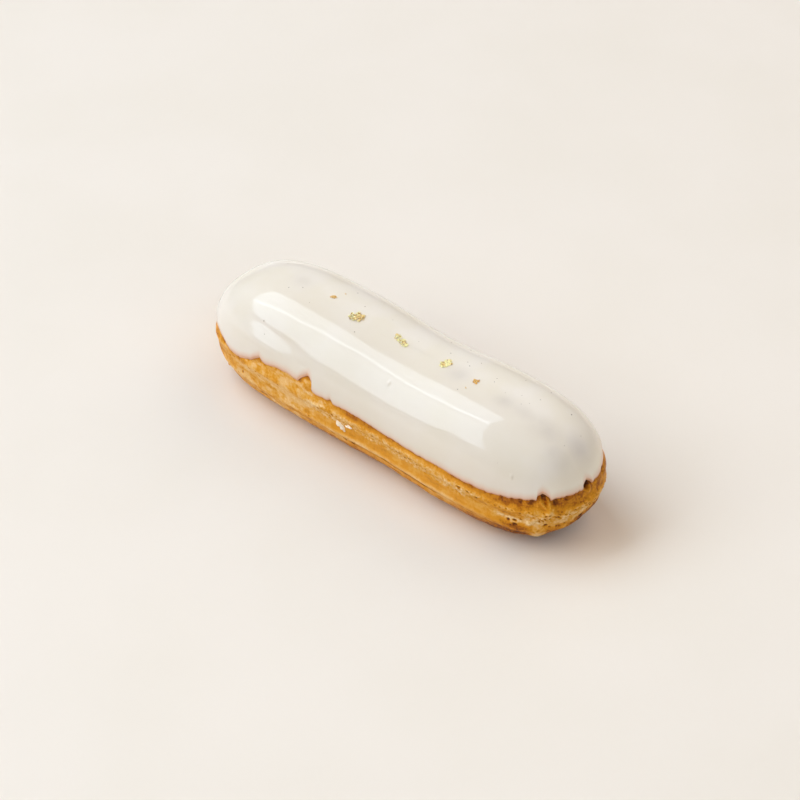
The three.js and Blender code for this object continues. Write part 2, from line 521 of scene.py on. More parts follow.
    def unrolled(self, run: Array, height: Array, along: float, up: float) -> Array:
        """Lays runs and heights out for noise, joined up with no seam.

        Args:
            run: Distances round the eclair.
            height: Heights.
            along: How long one unit of noise is, along the run.
            up: How tall it is.

        Returns:
            Places, three numbers each.
        """
        radius = self.full_run / (2 * math.pi * along)
        turn = run / (along * radius)
        return np.stack([radius * np.cos(turn), radius * np.sin(turn), height / up], axis=-1)

    def columns(self, fine: int, coarse: int) -> Array:
        """Gives runs round the eclair, closer together where the crust shows most.

        Args:
            fine: Columns along the near side and round both its ends.
            coarse: Columns along the rest.

        Returns:
            The runs, once round.
        """
        near = np.linspace(self.fine_from, self.fine_to, fine, endpoint=False)
        rest = np.linspace(self.fine_to, self.fine_from + self.full_run, coarse, endpoint=False)
        return np.concatenate([near, rest])


FORM = EclairForm()


class MeshMaker:
    """Makes mesh objects from places in millimetres."""

    WELD = 1e-7

    @staticmethod
    def mesh(name: str, places: Array, faces: Array, marks: dict[str, Array]) -> bpy.types.Mesh:
        """Makes a mesh.

        Args:
            name: Its name.
            places: Its corners.
            faces: The numbers of each face's corners.
            marks: Values for each corner, by the name that materials read them by.

        Returns:
            The mesh, in metres.
        """
        mesh = bpy.data.meshes.new(name)
        mesh.from_pydata((places.reshape(-1, 3) * MM).tolist(), [], faces.tolist())
        for mark, values in marks.items():
            layer = mesh.attributes.new(mark, "FLOAT", "POINT")
            layer.data.foreach_set("value", np.ascontiguousarray(values, np.float32).ravel())
        return mesh

    @staticmethod
    def place(name: str, mesh: bpy.types.Mesh) -> bpy.types.Object:
        """Links a mesh into the scene as an object.

        Args:
            name: The object's name.
            mesh: The mesh.

        Returns:
            The new object.
        """
        piece = bpy.data.objects.new(name, mesh)
        bpy.context.scene.collection.objects.link(piece)
        return piece

    @classmethod
    def sheet(cls, name: str, grid: Array, marks: dict[str, Array]) -> bpy.types.Object:
        """Makes a closed surface from rows of columns that run once round.

        Args:
            name: The piece's name.
            grid: Places as rows, columns and three numbers.
            marks: Values for each place, by the name that materials read them by.

        Returns:
            The new object.
        """
        rows, columns, _ = grid.shape
        index = np.arange(rows * columns).reshape(rows, columns)
        beside = np.roll(index, -1, axis=1)
        quads = np.stack([index[:-1], index[1:], beside[1:], beside[:-1]], axis=-1).reshape(-1, 4)
        mesh = cls.mesh(name, grid, quads, marks)
        shape = bmesh.new()
        shape.from_mesh(mesh)
        bmesh.ops.remove_doubles(shape, verts=shape.verts, dist=cls.WELD)
        bmesh.ops.dissolve_degenerate(shape, edges=shape.edges, dist=cls.WELD)
        for face in shape.faces:
            face.smooth = True
        shape.to_mesh(mesh)
        shape.free()
        return cls.place(name, mesh)

    @classmethod
    def slab(cls, name: str, top: Array, bottom: Array, marks: dict[str, float]) -> bpy.types.Object:
        """Makes a closed patch from its upper and its lower face.

        Args:
            name: The piece's name.
            top: Places of the upper face, as rows, columns and three numbers.
            bottom: Places of the lower face, in the same order.
            marks: A value for the whole patch, by the name that materials read it by.

        Returns:
            The new object.
        """
        rows, columns, _ = top.shape
        index = np.arange(rows * columns).reshape(rows, columns)
        corners = [index[:-1, :-1], index[:-1, 1:], index[1:, 1:], index[1:, :-1]]
        upper = np.stack(corners, axis=-1).reshape(-1, 4)
        rim = np.concatenate([index[0, :-1], index[:-1, -1], index[-1, :0:-1], index[:0:-1, 0]])
        onward = np.roll(rim, -1)
        under = rows * columns
        walls = np.stack([onward, rim, rim + under, onward + under], axis=-1)
        quads = np.concatenate([upper, upper[:, ::-1] + under, walls])
        places = np.concatenate([top.reshape(-1, 3), bottom.reshape(-1, 3)])
        spread = {mark: np.full(2 * under, value) for mark, value in marks.items()}
        mesh = cls.mesh(name, places, quads, spread)
        mesh.polygons.foreach_set("use_smooth", [True] * len(mesh.polygons))
        return cls.place(name, mesh)

    @classmethod
    def joined(cls, name: str, parts: list[bmesh.types.BMesh], smooth: bool) -> bpy.types.Object:
        """Joins small shapes, made in millimetres, into one object.

        Args:
            name: The piece's name.
            parts: The shapes, which are freed.
            smooth: Whether their faces are shaded smooth.

        Returns:
            The new object.
        """
        places, faces = [], []
        for part in parts:
            part.verts.index_update()
            start = len(places)
            places += [tuple(vertex.co * MM) for vertex in part.verts]
            faces += sorted([start + vertex.index for vertex in face.verts] for face in part.faces)
            part.free()
        mesh = bpy.data.meshes.new(name)
        mesh.from_pydata(places, [], faces)
        mesh.polygons.foreach_set("use_smooth", [smooth] * len(mesh.polygons))
        return cls.place(name, mesh)


class Socket:
    """A node's output that takes part in sums as a number does."""

    def __init__(self, graph: "Graph", output: bpy.types.NodeSocket) -> None:
        """Wraps an output of a graph's node."""
        self.graph = graph
        self.output = output

    def __add__(self, other: "Socket | float") -> "Socket":
        """Adds."""
        return self.graph.math("ADD", self, other)

    def __radd__(self, other: float) -> "Socket":
        """Adds to a number."""
        return self.graph.math("ADD", other, self)

    def __sub__(self, other: "Socket | float") -> "Socket":
        """Takes away."""
        return self.graph.math("SUBTRACT", self, other)

    def __rsub__(self, other: float) -> "Socket":
        """Takes away from a number."""
        return self.graph.math("SUBTRACT", other, self)

    def __mul__(self, other: "Socket | float") -> "Socket":
        """Multiplies."""
        return self.graph.math("MULTIPLY", self, other)

    def __rmul__(self, other: float) -> "Socket":
        """Multiplies a number."""
        return self.graph.math("MULTIPLY", other, self)

    def step(self, span: Span) -> "Socket":
        """Gives 0 below a range, 1 above it and a smooth step between."""
        inputs = {0: self, 1: span.low, 2: span.high, 3: 0.0, 4: 1.0}
        return self.graph.node("ShaderNodeMapRange", {"interpolation_type": "SMOOTHSTEP"}, inputs)


@dataclass(frozen=True)
class Pattern:
    """Noise in a material: its features' size in millimetres, its finer layers and each axis's stretch."""

    size: float
    detail: float
    stretch: tuple[float, float, float] = (1, 1, 1)


class Graph:
    """The nodes of one material."""

    def __init__(self, name: str) -> None:
        """Starts a material that holds only its shader and its output.

        Args:
            name: The material's name.
        """
        self.material = bpy.data.materials.new(name)
        self.material.use_nodes = True
        self.tree = self.material.node_tree
        self.tree.nodes.clear()
        self.shader = self.tree.nodes.new("ShaderNodeBsdfPrincipled")
        surface = self.tree.nodes.new("ShaderNodeOutputMaterial")
        self.tree.links.new(self.shader.outputs[0], surface.inputs["Surface"])

    def node(
        self,
        kind: str,
        settings: dict[str, Any],
        inputs: dict[str | int, Any],
        output: str | int = 0,
    ) -> Socket:
        """Adds a node.

        Args:
            kind: The node's type.
            settings: Its properties, set first.
            inputs: Values or links for its sockets, by name or place.
            output: Which output is wanted.

        Returns:
            That output.
        """
        made = self.tree.nodes.new(kind)
        for key, value in settings.items():
            setattr(made, key, value)
        self.feed(made, inputs)
        return Socket(self, made.outputs[output])

    def feed(self, node: bpy.types.Node, inputs: dict[str | int, Any]) -> None:
        """Sets a node's sockets to values, or links them.

        Args:
            node: The node.
            inputs: Values or links, by the sockets' names or places.
        """
        for key, value in inputs.items():
            if isinstance(value, Socket):
                self.tree.links.new(value.output, node.inputs[key])
            else:
                node.inputs[key].default_value = value

    def math(self, operation: str, first: Socket | float, second: Socket | float) -> Socket:
        """Works out one step of a sum."""
        return self.node("ShaderNodeMath", {"operation": operation}, {0: first, 1: second})

    def mark(self, name: str) -> Socket:
        """Reads a value that the mesh carries."""
        return self.node("ShaderNodeAttribute", {"attribute_name": name}, {}, "Fac")

    def place(self, size: float, stretch: tuple[float, float, float] = (1, 1, 1)) -> Socket:
        """Gives places on the object.

        Args:
            size: The unit that they are counted in, in millimetres.
            stretch: How much longer the unit is on each axis.

        Returns:
            The places.
        """
        place = self.node("ShaderNodeTexCoord", {}, {}, "Object")
        scale = tuple(1 / (size * MM * axis) for axis in stretch)
        return self.node("ShaderNodeVectorMath", {"operation": "MULTIPLY"}, {0: place, 1: scale})

    def noise(self, pattern: Pattern) -> Socket:
        """Gives noise from about 0 to 1 over the object."""
        place = self.place(pattern.size, pattern.stretch)
        return self.node("ShaderNodeTexNoise", {}, {"Vector": place, "Scale": 1.0, "Detail": pattern.detail})

    def mix(self, share: Socket | float, first: Socket | Colour, second: Socket | Colour) -> Socket:
        """Mixes two colours, by a share of the second."""
        return self.node("ShaderNodeMix", {"data_type": "RGBA"}, {0: share, 6: first, 7: second}, 2)

    def bump(self, height: Socket, distance: float, strength: float) -> Socket:
        """Turns a height into a normal; distance is what a height of 1 stands for, in millimetres."""
        values = {"Height": height, "Distance": distance * MM, "Strength": strength}
        return self.node("ShaderNodeBump", {}, values)


@dataclass(frozen=True)
class ChouxFinish:
    """Baked choux, on one scale of tones from scorched brown to pale cream."""

    tones: tuple[tuple[float, Colour], ...] = (
        (0.0, srgb(64, 28, 10)),
        (0.15, srgb(126, 68, 14)),
        (0.3, srgb(172, 98, 14)),
        (0.45, srgb(202, 130, 22)),
        (0.6, srgb(220, 148, 32)),
        (0.75, srgb(228, 166, 68)),
        (0.9, srgb(234, 184, 112)),
        (1.1, srgb(248, 214, 160)),
    )
    grain: Pattern = Pattern(0.6, 3.0)
    fibre: Pattern = Pattern(0.35, 3.0, (8, 8, 1))
    brush: Pattern = Pattern(0.9, 2.0, (1, 1, 4))
    grain_share: float = 0.25
    crumb_grain: float = 0.5
    fibre_share: float = 0.6
    brush_share: float = 0.14
    roughness: float = 0.4
    crumb_roughness: float = 0.2
    grain_roughness: float = 0.1
    grain_relief: float = 2.6
    fibre_relief: float = 0.3
    relief_depth: float = 0.16
    relief_share: float = 0.9
    ior: float = 1.4
    sheen: float = 0.3

    def build(self) -> bpy.types.Material:
        """Makes the material.

        Returns:
            The material, which reads the marks that the bun's mesh carries.
        """
        graph = Graph("choux_crust")
        tone = graph.mark("tone")
        crumb = graph.mark("crumb")
        grain = graph.noise(self.grain)
        fibre = graph.noise(self.fibre)
        brush = graph.noise(self.brush)
        rough = (self.grain_share + self.crumb_grain * crumb) * (grain - NOISE_MIDDLE)
        fibres = self.fibre_share * graph.mark("low") * (fibre - NOISE_MIDDLE)
        shade = tone + rough + fibres + self.brush_share * (brush - NOISE_MIDDLE)
        base = self.tones[0][1]
        for (low, _), (high, colour) in zip(self.tones, self.tones[1:]):
            base = graph.mix(shade.step(Span(low, high)), base, colour)
        relief = self.grain_relief * rough + self.fibre_relief * fibre
        graph.feed(graph.shader, {
            "Base Color": base,
            "Roughness": self.roughness + self.crumb_roughness * crumb + self.grain_roughness * grain,
            "Normal": graph.bump(relief, self.relief_depth, self.relief_share),
            "IOR": self.ior,
            "Specular IOR Level": self.sheen,
        })
        return graph.material


@dataclass(frozen=True)
class IcingFinish:
    """Poured white icing: ivory, glossy, greyer where it is thin, warm along its edge (partly painted bounce
    light), with painted shade on its near flank and lighter where thick (partly painted light).
    """

    ivory: Colour = srgb(236, 227, 217)
    cream: Colour = srgb(233, 223, 208)
    thin: Colour = srgb(202, 192, 186)
    # Painted shade: a darker, warmer ivory for the near flank.
    flank_shade: Colour = srgb(218, 206, 190)
    # Warm tint along the lower edge: partly crust showing through the thin icing, partly painted bounce
    # light from the crust.
    blush_and_bounce: Colour = srgb(224, 172, 140)
    # Lighter where the icing is thick: whiter icing, and painted light on the side-facing splash and the low
    # tail end.
    thick: Colour = srgb(255, 242, 220)
    clouds: Pattern = Pattern(16.0, 3.0)
    clouded: Span = Span(0.35, 0.65)
    ripple: Pattern = Pattern(6.0, 1.0)
    ripple_depth: float = 0.02
    ripple_share: float = 0.4
    roughness: float = 0.02
    cloud_roughness: float = 0.01
    ior: float = 1.5

    def build(self) -> bpy.types.Material:
        """Makes the material.

        Returns:
            The material, which reads the marks that the icing's mesh carries.
        """
        graph = Graph("poured_icing")
        clouds = graph.noise(self.clouds)
        ripple = graph.noise(self.ripple)
        base = graph.mix(clouds.step(self.clouded), self.ivory, self.cream)
        base = graph.mix(graph.mark("thin"), base, self.thin)
        base = graph.mix(graph.mark("flank_shade"), base, self.flank_shade)
        base = graph.mix(graph.mark("thick"), base, self.thick)
        base = graph.mix(graph.mark("blush_and_bounce"), base, self.blush_and_bounce)
        graph.feed(graph.shader, {
            "Base Color": base,
            "Roughness": self.roughness + self.cloud_roughness * clouds,
            "Normal": graph.bump(ripple, self.ripple_depth, self.ripple_share),
            "IOR": self.ior,
        })
        return graph.material


@dataclass(frozen=True)
class LeafFinish:
    """Gold leaf, bright and crumpled, with creases painted dark, partly darker gold and partly painted
    shade, and amber towards both ends of the row.
    """

    bright: Colour = srgb(255, 248, 190)
    # Darker gold in the creases, partly painted shade.
    dark_gold_and_shade: Colour = srgb(172, 108, 24)
    amber: Colour = srgb(236, 184, 96)
    amber_from: float = 24
    amber_fade: Span = Span(0.9, 1.1)
    amber_share: float = 0.7
    patches: Pattern = Pattern(1.8, 1.0)
    patched: Span = Span(0.53, 0.6)
    patch_share: float = 0.45
    creases: Pattern = Pattern(0.5, 2.0)
    creased: Span = Span(0.56, 0.64)
    metal: float = 0.05
    roughness: float = 0.2
    crease_roughness: float = 0.15
    wrinkles: Pattern = Pattern(0.25, 3.0)
    wrinkle_depth: float = 0.05
    wrinkle_share: float = 0.5

    def build(self) -> bpy.types.Material:
        """Makes the material.

        Returns:
            The material.
        """
        graph = Graph("gold_leaf")
        creases = graph.noise(self.creases)
        wrinkles = graph.noise(self.wrinkles)
        along = graph.node("ShaderNodeSeparateXYZ", {}, {0: graph.place(self.amber_from)}, "X")
        ends = self.amber_share * (along * along).step(self.amber_fade)
        share = ends + self.patch_share * graph.noise(self.patches).step(self.patched)
        leaf = graph.mix(share, self.bright, self.amber)
        graph.feed(graph.shader, {
            # The creases take the dark colour: darker gold and painted shade.
            "Base Color": graph.mix(creases.step(self.creased), leaf, self.dark_gold_and_shade),
            "Metallic": self.metal,
            "Roughness": self.roughness + self.crease_roughness * creases,
            "Normal": graph.bump(wrinkles, self.wrinkle_depth, self.wrinkle_share),
        })
        return graph.material


@dataclass(frozen=True)
class SpeckFinish:
    """Ground vanilla, dark and dull."""

    dark: Colour = srgb(92, 74, 58)
    light: Colour = srgb(150, 128, 104)
    clouds: Pattern = Pattern(2.5, 1.0)
    clouded: Span = Span(0.3, 0.7)
    roughness: float = 0.55

    def build(self) -> bpy.types.Material:
        """Makes the material.

        Returns:
            The material.
        """
        graph = Graph("vanilla_speck")
        graph.feed(graph.shader, {
            "Base Color": graph.mix(graph.noise(self.clouds).step(self.clouded), self.dark, self.light),
            "Roughness": self.roughness,
        })
        return graph.material


@dataclass(frozen=True)
class FloorFinish:
    """A plain pale warm surface."""

    pale: Colour = srgb(233, 224, 215)
    shade: Colour = srgb(231, 222, 212)
    clouds: Pattern = Pattern(60.0, 2.0)
    clouded: Span = Span(0.3, 0.7)
    roughness: float = 0.55

    def build(self) -> bpy.types.Material:
        """Makes the material.

        Returns:
            The material.
        """
        graph = Graph("pale_floor")
        graph.feed(graph.shader, {
            "Base Color": graph.mix(graph.noise(self.clouds).step(self.clouded), self.pale, self.shade),
            "Roughness": self.roughness,
        })
        return graph.material


def dress(piece: bpy.types.Object, material: bpy.types.Material, node: Node) -> None:
    """Gives a piece its material and its place on the part.

    Args:
        piece: The piece.
        material: Its material.
        node: The solid that it stands for.
    """
    piece.data.materials.append(material)
    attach(piece, BODY)
    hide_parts(node.value)


@dataclass
class IcingEdge:
    """The icing's uneven lower edge."""

    height: float = 19.1
    ragged: float = 0.32
    ragged_weave: Weave = Weave(2.2, 1)
    blister_steps: Span = Span(1.5, 7.5)
    blister_sizes: Span = Span(0.22, 0.5)
    blister_power: float = 0.7
    blister_rise: float = 0.22
    seed: int = 23
    sways: tuple[Sway, ...] = (
        Sway(-50.5, 8, 8, -3.1),
        Sway(-27, 12, 6, 1.8),
        Sway(18, 16, 20, -1.15),
        Sway(45, 11, 9, -0.8),
        Sway(74, 20, 20, 1.5),
        Sway(97, 9, 9, 5.0),
        Sway(130, 16, 16, -0.9),
        Sway(178, 22, 22, 1.2),
        Sway(216, 12, 12, -0.8),
    )
    notches: tuple[Notch, ...] = (
        Notch(-39.4, 3.6, 2.4, 1.5, 0.8, 1.2),
        Notch(-19.7, 3.7, 2.1, 4.6, 0.75, 0.3),
        Notch(-10.6, 1.5, 1.0, 1.0, 1.2, 0.8),
        Notch(65.3, 1.7, 2.4, 2.7, 0.3, 0.5),
        Notch(80.4, 2.0, 2.2, 2.4, 0.4, 0.5),
        Notch(121, 2.4, 2.4, 1.9, 0.8, 0.8),
        Notch(163, 2.1, 2.1, 1.7, 1, 1),
        Notch(199, 2.6, 2.6, 2.6, 0.6, 0.6),
    )
    pockets: tuple[Pocket, ...] = (
        Pocket(29.3, 0.4), Pocket(43, 0.55), Pocket(47.4, 0.5), Pocket(52.6, 0.75), Pocket(56.2, 0.7),
        Pocket(58.8, 0.9), Pocket(62.4, 1.0), Pocket(69.2, 1.0), Pocket(72.7, 0.9), Pocket(77, 0.6),
        Pocket(84, 0.7), Pocket(88.6, 0.9), Pocket(-48.6, 0.6), Pocket(-57, 0.7),
    )

    def __post_init__(self) -> None:
        """Draws the edge's noise and small blisters round the rest of it."""
        self.grain = Grain(self.seed)
        draw = np.random.default_rng(self.seed)
        drawn = []
        run = FORM.fine_from
        while run < FORM.fine_from + FORM.full_run:
            run += self.blister_steps.drawn(draw)
            drawn.append(Pocket(run, self.blister_sizes.drawn(draw)))
        self.blisters = self.pockets + tuple(drawn)

    def at(self, run: Array) -> Array:
        """Gives the height of the edge.

        Args:
            run: Distances round the eclair.

        Returns:
            The heights.
        """
        height = np.full(np.shape(run), self.height)
        for sway in self.sways:
            away = FORM.run_between(run, sway.run)
            height += sway.rise * bell(away, np.where(away < 0, sway.before, sway.after))
        for notch in self.notches:
            away = FORM.run_between(run, notch.run)
            across = np.abs(away) / np.where(away < 0, notch.before, notch.after)
            power = np.where(away < 0, notch.before_power, notch.after_power)
            height += notch.rise * np.maximum(1 - across, 0) ** power
        for pocket in self.blisters:
            across = np.abs(FORM.run_between(run, pocket.run)) / pocket.size
            height += self.blister_rise * pocket.size * np.maximum(1 - across, 0) ** self.blister_power
        return height + self.ragged * self.ragged_weave.over(self.grain, run, 0 * run)


@dataclass(frozen=True)
class Zones:
    """How much each place on the crust belongs to the tail, the start, the low part and the pale crests."""

    tail: Array
    start: Array
    low: Array
    pale: Array


@dataclass(frozen=True)
class Strength:
    """How strongly something shows everywhere, and how much more it does in each zone of the crust."""

    even: float = 0
    tail: float = 0
    start: float = 0
    low: float = 0
    pale: float = 0

    def over(self, zones: Zones) -> Array:
        """Gives the strength at places on the crust."""
        ends = self.tail * zones.tail + self.start * zones.start
        return self.even + ends + self.low * zones.low + self.pale * zones.pale


@dataclass
class ChouxBun:
    """The baked bun, with its piped ridges, tail, folds, blisters and crackled crust."""

    edge: IcingEdge
    valley_depth: float = 0.9
    icing_inset: float = 1.66
    cover: Span = Span(0, 1.3)
    flush: float = -0.45
    flush_within: Span = Span(0.1, 0.7)
    base_fade: Span = Span(0.5, 3.5)
    fine_columns: int = 640
    coarse_columns: int = 270
    crown_rows: int = 5
    band_rows: int = 97
    base_rows: int = 3
    band_top: float = 25
    band_foot: float = 0.3
    sway: float = 0.35
    sway_length: float = 17
    seed: int = 5
    finish: ChouxFinish = ChouxFinish()

    tail_run: float = 72
    tail_fade: Span = Span(12, 30)
    start_run: float = -50
    start_fade: Span = Span(28, 38)
    start_smoothing: float = 0.3
    low_heights: Span = Span(7, 9)
    pale_heights: Span = Span(10.5, 12)
    pale_tones: Span = Span(0.66, 0.86)
    pale_clump: float = 0.15
    pale_start: float = 0.6

    crest_share: float = 0.92
    crest_uneven: float = 0.3
    uneven_weave: Weave = Weave(5, 4, 2)
    ridge_tone: float = 1.0
    ridge_fine: float = 0.2
    stroke_share: float = 0.6
    rim_share: float = 0.4
    rim_at: float = 0.82
    rim_half: float = 0.34
    hollow_within: Span = Span(0.3, 0.75)
    hollow_shade_tone: float = 0.2

    nodule_along: float = 1.4
    nodule_up: float = 0.95
    nodule_joins: Span = Span(0, 0.4)
    nodule_rise: Strength = Strength(pale=0.2)
    pale_rise: Strength = Strength(pale=-0.1)
    clump_weave: Weave = Weave(9, 3)
    clump_tone: Strength = Strength(0.18, start=0.14)
    mottle_weave: Weave = Weave(2.2, 1.3)
    mottle_tone: Strength = Strength(0.18, tail=0.14, start=0.2)
    fine_weave: Weave = Weave(1.2, 0.9, 2)
    fine_rise: Strength = Strength(pale=0.14)
    fine_tone: Strength = Strength(tail=0.1, start=0.14, pale=0.1)
    streak_weave: Weave = Weave(12, 0.7)
    streak_rise: Strength = Strength(0.05, low=0.1)
    streak_tone: Strength = Strength(0.03, low=0.3)
    brush_weave: Weave = Weave(1.1, 5, 2)
    brush_rise: Strength = Strength(0.02, tail=0.05)
    brush_tone: Strength = Strength(0.04, tail=0.04, start=0.06)
    zone_tone: Strength = Strength(tail=0.03, start=0.07)
    crackle_rise: Strength = Strength(tail=-0.1)
    crackle_tone: Strength = Strength(-0.14)
    shade_line_within: Span = Span(0.1, 0.9)
    shade_line_tone: Strength = Strength(-0.13, tail=0.02, start=0.03)
    shade_at: float = 1.0
    shade_reach: float = 1.3
    shade_brush: float = 2
    shade_tone: Strength = Strength(-0.08, tail=-0.04)
    shade_lift: float = 0.18
    teeth_at: float = 0.9
    teeth_reach: float = 1.0
    teeth_brush: Span = Span(-0.05, 0.2)
    teeth_tone: Strength = Strength(tail=-0.2)
    darkest: float = 0.16
    palest: Strength = Strength(1.15, start=-0.22)
    crumb: Strength = Strength(tail=0.6, start=0.35)

    pit_reach: float = 2.2
    pit_darkening: Span = Span(0.1, 0.7)
    blister_drop: float = 1.1
    blister_along: float = 0.8
    blister_up: float = 1.5
    blister_depth: float = 0.6
    blister_darkness: float = 0.2
    blister_darken: float = 0.3
    seam_steps: Span = Span(0.9, 3.0)
    seam_height: float = 14.8
    seam_spread: float = 0.6
    dash: PitKind = PitKind(Span(0.2, 0.55), Span(0.18, 0.3), Span(0.1, 0.3), Span(0.3, 0.85))
    slit_chance: float = 0.25
    slit_height: float = 7.1
    slit_spread: Span = Span(-0.5, 0.4)
    slit: PitKind = PitKind(Span(0.5, 1.6), Span(0.2, 0.3), Span(0.2, 0.5), Span(0.3, 0.8))
    dot_chance: float = 0.35
    dot_spread: Span = Span(-0.7, 0.7)
    dot: PitKind = PitKind(Span(0.2, 0.4), Span(0.18, 0.28), Span(0.1, 0.3), Span(0.2, 0.6))
    calm_from: float = 0.5
    calm_keep: int = 3
    pocks: tuple[Pocks, ...] = (Pocks(76, 9, 90), Pocks(-68, 9, 40), Pocks(165, 40, 60))
    pock_sizes: Span = Span(0.2, 0.42)
    pock_heights: Span = Span(8, 17)
    pock_squat: Span = Span(0.6, 1)
    pock_depth: float = 0.8
    pock_darkness: Span = Span(0.25, 0.8)

    crests: tuple[Crest, ...] = (
        Crest(15.4, 1.6, 0.95),
        Crest(8.5, 1.4, 0.65),
        Crest(4, 2.4, 0.9),
    )
    lumps: tuple[Oval, ...] = (
        Oval(64.5, 5.8, 2.8, 2.4, 0.7),
        Oval(72, 13, 3.2, 3.4, 0.5),
        Oval(84, 15.5, 4, 3, 0.4),
        Oval(-62, 15.5, 5, 3, 0.5),
        Oval(-80, 15.5, 5, 3, 0.2),
        Oval(-69, 11.5, 6, 4, 0.7),
        Oval(-42, 15, 4.5, 2.2, 0.35),
        Oval(-20.6, 20.5, 2.4, 3, 0.5),
        Oval(92, 20.5, 6, 4, 1.1),
        Oval(-61.5, 4.6, 0.6, 0.8, 1.1),
        Oval(57.5, 6, 5, 2.5, 0.45),
    )
    tones: tuple[tuple[float, float], ...] = (
        (0.0, 0.72), (2.3, 0.7), (3.0, 0.4), (3.6, 0.4), (4.2, 0.5), (5.2, 0.66), (6.2, 0.72), (6.7, 0.66),
        (7.1, 0.58), (7.5, 0.7), (7.9, 0.84), (8.6, 0.88), (9.1, 0.74), (9.6, 0.58), (11.0, 0.6),
        (11.8, 0.7), (12.4, 0.9), (14.4, 0.94), (15.3, 1.0), (16.1, 0.9), (16.7, 0.6), (17.4, 0.5),
        (18.5, 0.54),
    )
    tail_tones: tuple[tuple[float, float], ...] = (
        (0.0, 0.6), (2.0, 0.56), (3.0, 0.18), (5.0, 0.22), (6.0, 0.3), (7.0, 0.36), (9.3, 0.34),
        (10.0, 0.4), (10.8, 0.6), (11.6, 0.82), (13.2, 0.8), (14.5, 0.82), (15.4, 0.75), (16.2, 0.62),
        (17.0, 0.5), (18.0, 0.45), (22.0, 0.45),
    )
    start_tones: tuple[tuple[float, float], ...] = (
        (0.0, 0.72), (2.3, 0.7), (3.0, 0.4), (3.6, 0.4), (4.2, 0.5), (5.2, 0.66), (6.2, 0.72), (6.7, 0.66),
        (7.1, 0.6), (7.6, 0.72), (8.6, 0.83), (9.4, 0.8), (10.0, 0.76), (11.5, 0.74), (13.0, 0.93),
        (14.5, 0.93), (15.4, 0.9), (16.0, 0.74), (17.0, 0.68), (18.0, 0.7), (19.0, 0.68), (22.0, 0.62),
    )
    patches: tuple[Oval, ...] = (
        Oval(-40, 6, 14, 1.6, -0.12),
        Oval(-20, 18.5, 3, 3.5, 0.12),
        # Painted shade at the top of the thorn-shaped gap in the icing, under its tip.
        Oval(-19.7, 23.6, 1.4, 1.4, -0.08),
        Oval(-13, 17.3, 4, 1.2, 0.3),
        Oval(-12, 15.4, 3.5, 0.8, -0.25),
        Oval(-45, 9.2, 6, 1.2, 0.12),
        Oval(-62, 11, 9, 3.5, -0.18),
        Oval(-45, 10.5, 8, 3, 0.08),
        Oval(-62, 15, 8, 1.6, -0.14),
        Oval(-61.5, 4.6, 0.8, 1.0, -0.5),
        Oval(-42.5, 14.6, 4.5, 1.4, 0.14),
        Oval(57.5, 11.2, 5, 1.1, 0.42),
        Oval(57.5, 13.4, 5, 0.9, -0.25),
        Oval(57, 17, 6, 1.4, -0.18),
        Oval(57.5, 9, 4, 0.7, -0.15),
        Oval(54, 5, 6, 2, -0.12),
        Oval(48, 8, 5, 2, -0.08),
        Oval(48, 10.2, 4, 0.8, 0.15),
        Oval(76, 13.2, 8, 2.6, 0.14),
        Oval(64.5, 12, 2.4, 3, 0.1),
        Oval(64.6, 6.2, 3, 2.2, 0.6),
        Oval(48, 13.8, 6, 1.2, -0.3),
        Oval(35, 11, 6, 2, -0.08),
        Oval(5, 5, 7, 1.6, 0.12),
        Oval(50, 5, 9, 1.6, -0.2),
        Oval(160, 14, 12, 2.5, 0.15),
        Oval(200, 16, 8, 2, 0.15),
    )
    rings: tuple[Ring, ...] = (
        Ring(66.1, 19.8, 1.4, 2.9, -0.39, 0.7, 0.45),
        Ring(80.4, 20.6, 1.4, 2.1, -0.2, 0.6, 0.7),
    )
    strokes: tuple[Stroke, ...] = (
        Stroke(61.6, 10.9, 68.4, 17.2, 0.8, 0.6),
        Stroke(64.2, 8.4, 67.2, 15.2, 1.7, 0.35),
    )
    holes: tuple[Pit, ...] = (
        Pit(65.6, 21.8, 0.95, 0.95, 0.5, 0.85),
        Pit(80.5, 21.5, 1.5, 1.6, 1.3, 1.0),
        Pit(-43.6, 14.9, 0.35, 0.25, 0.3, 0.7),
        Pit(-41.8, 14.2, 0.6, 0.22, 0.3, 0.6),
        Pit(-40.6, 15.1, 0.3, 0.22, 0.3, 0.6),
        Pit(-17.9, 19.6, 0.35, 0.3, 0.4, 0.8),
        Pit(-6.2, 7.2, 0.9, 0.32, 0.5, 1.0),
        Pit(-3.1, 6.7, 0.7, 0.28, 0.4, 0.9),
        Pit(9.1, 7.4, 1.1, 0.38, 0.5, 1.0),
        Pit(19.7, 15.1, 1.0, 0.28, 0.4, 0.9),
        Pit(16, 14.7, 0.5, 0.25, 0.3, 0.7),
        Pit(38.8, 15.6, 0.9, 0.26, 0.4, 0.85),
        Pit(42, 15.5, 0.7, 0.3, 0.4, 0.95),
        Pit(55.1, 10.7, 0.6, 0.5, 0.4, 0.9),
        Pit(57.1, 11, 0.8, 0.4, 0.4, 0.85),
        Pit(57.3, 9.6, 0.9, 0.4, 0.4, 0.75),
        Pit(66.7, 10.6, 0.6, 0.45, 0.5, 0.95),
        Pit(70.3, 13.9, 0.4, 0.6, 0.4, 0.75),
        Pit(79.1, 10.1, 1.0, 0.5, 0.4, 0.85),
        Pit(82.6, 12.7, 0.7, 0.6, 0.4, 0.9),
    )

    def __post_init__(self) -> None:
        """Draws the crust's noise and its pits."""
        self.grain = Grain(self.seed)
        self.pits = list(self.holes) + self.blister_pits() + self.seam_pits() + self.end_pits()

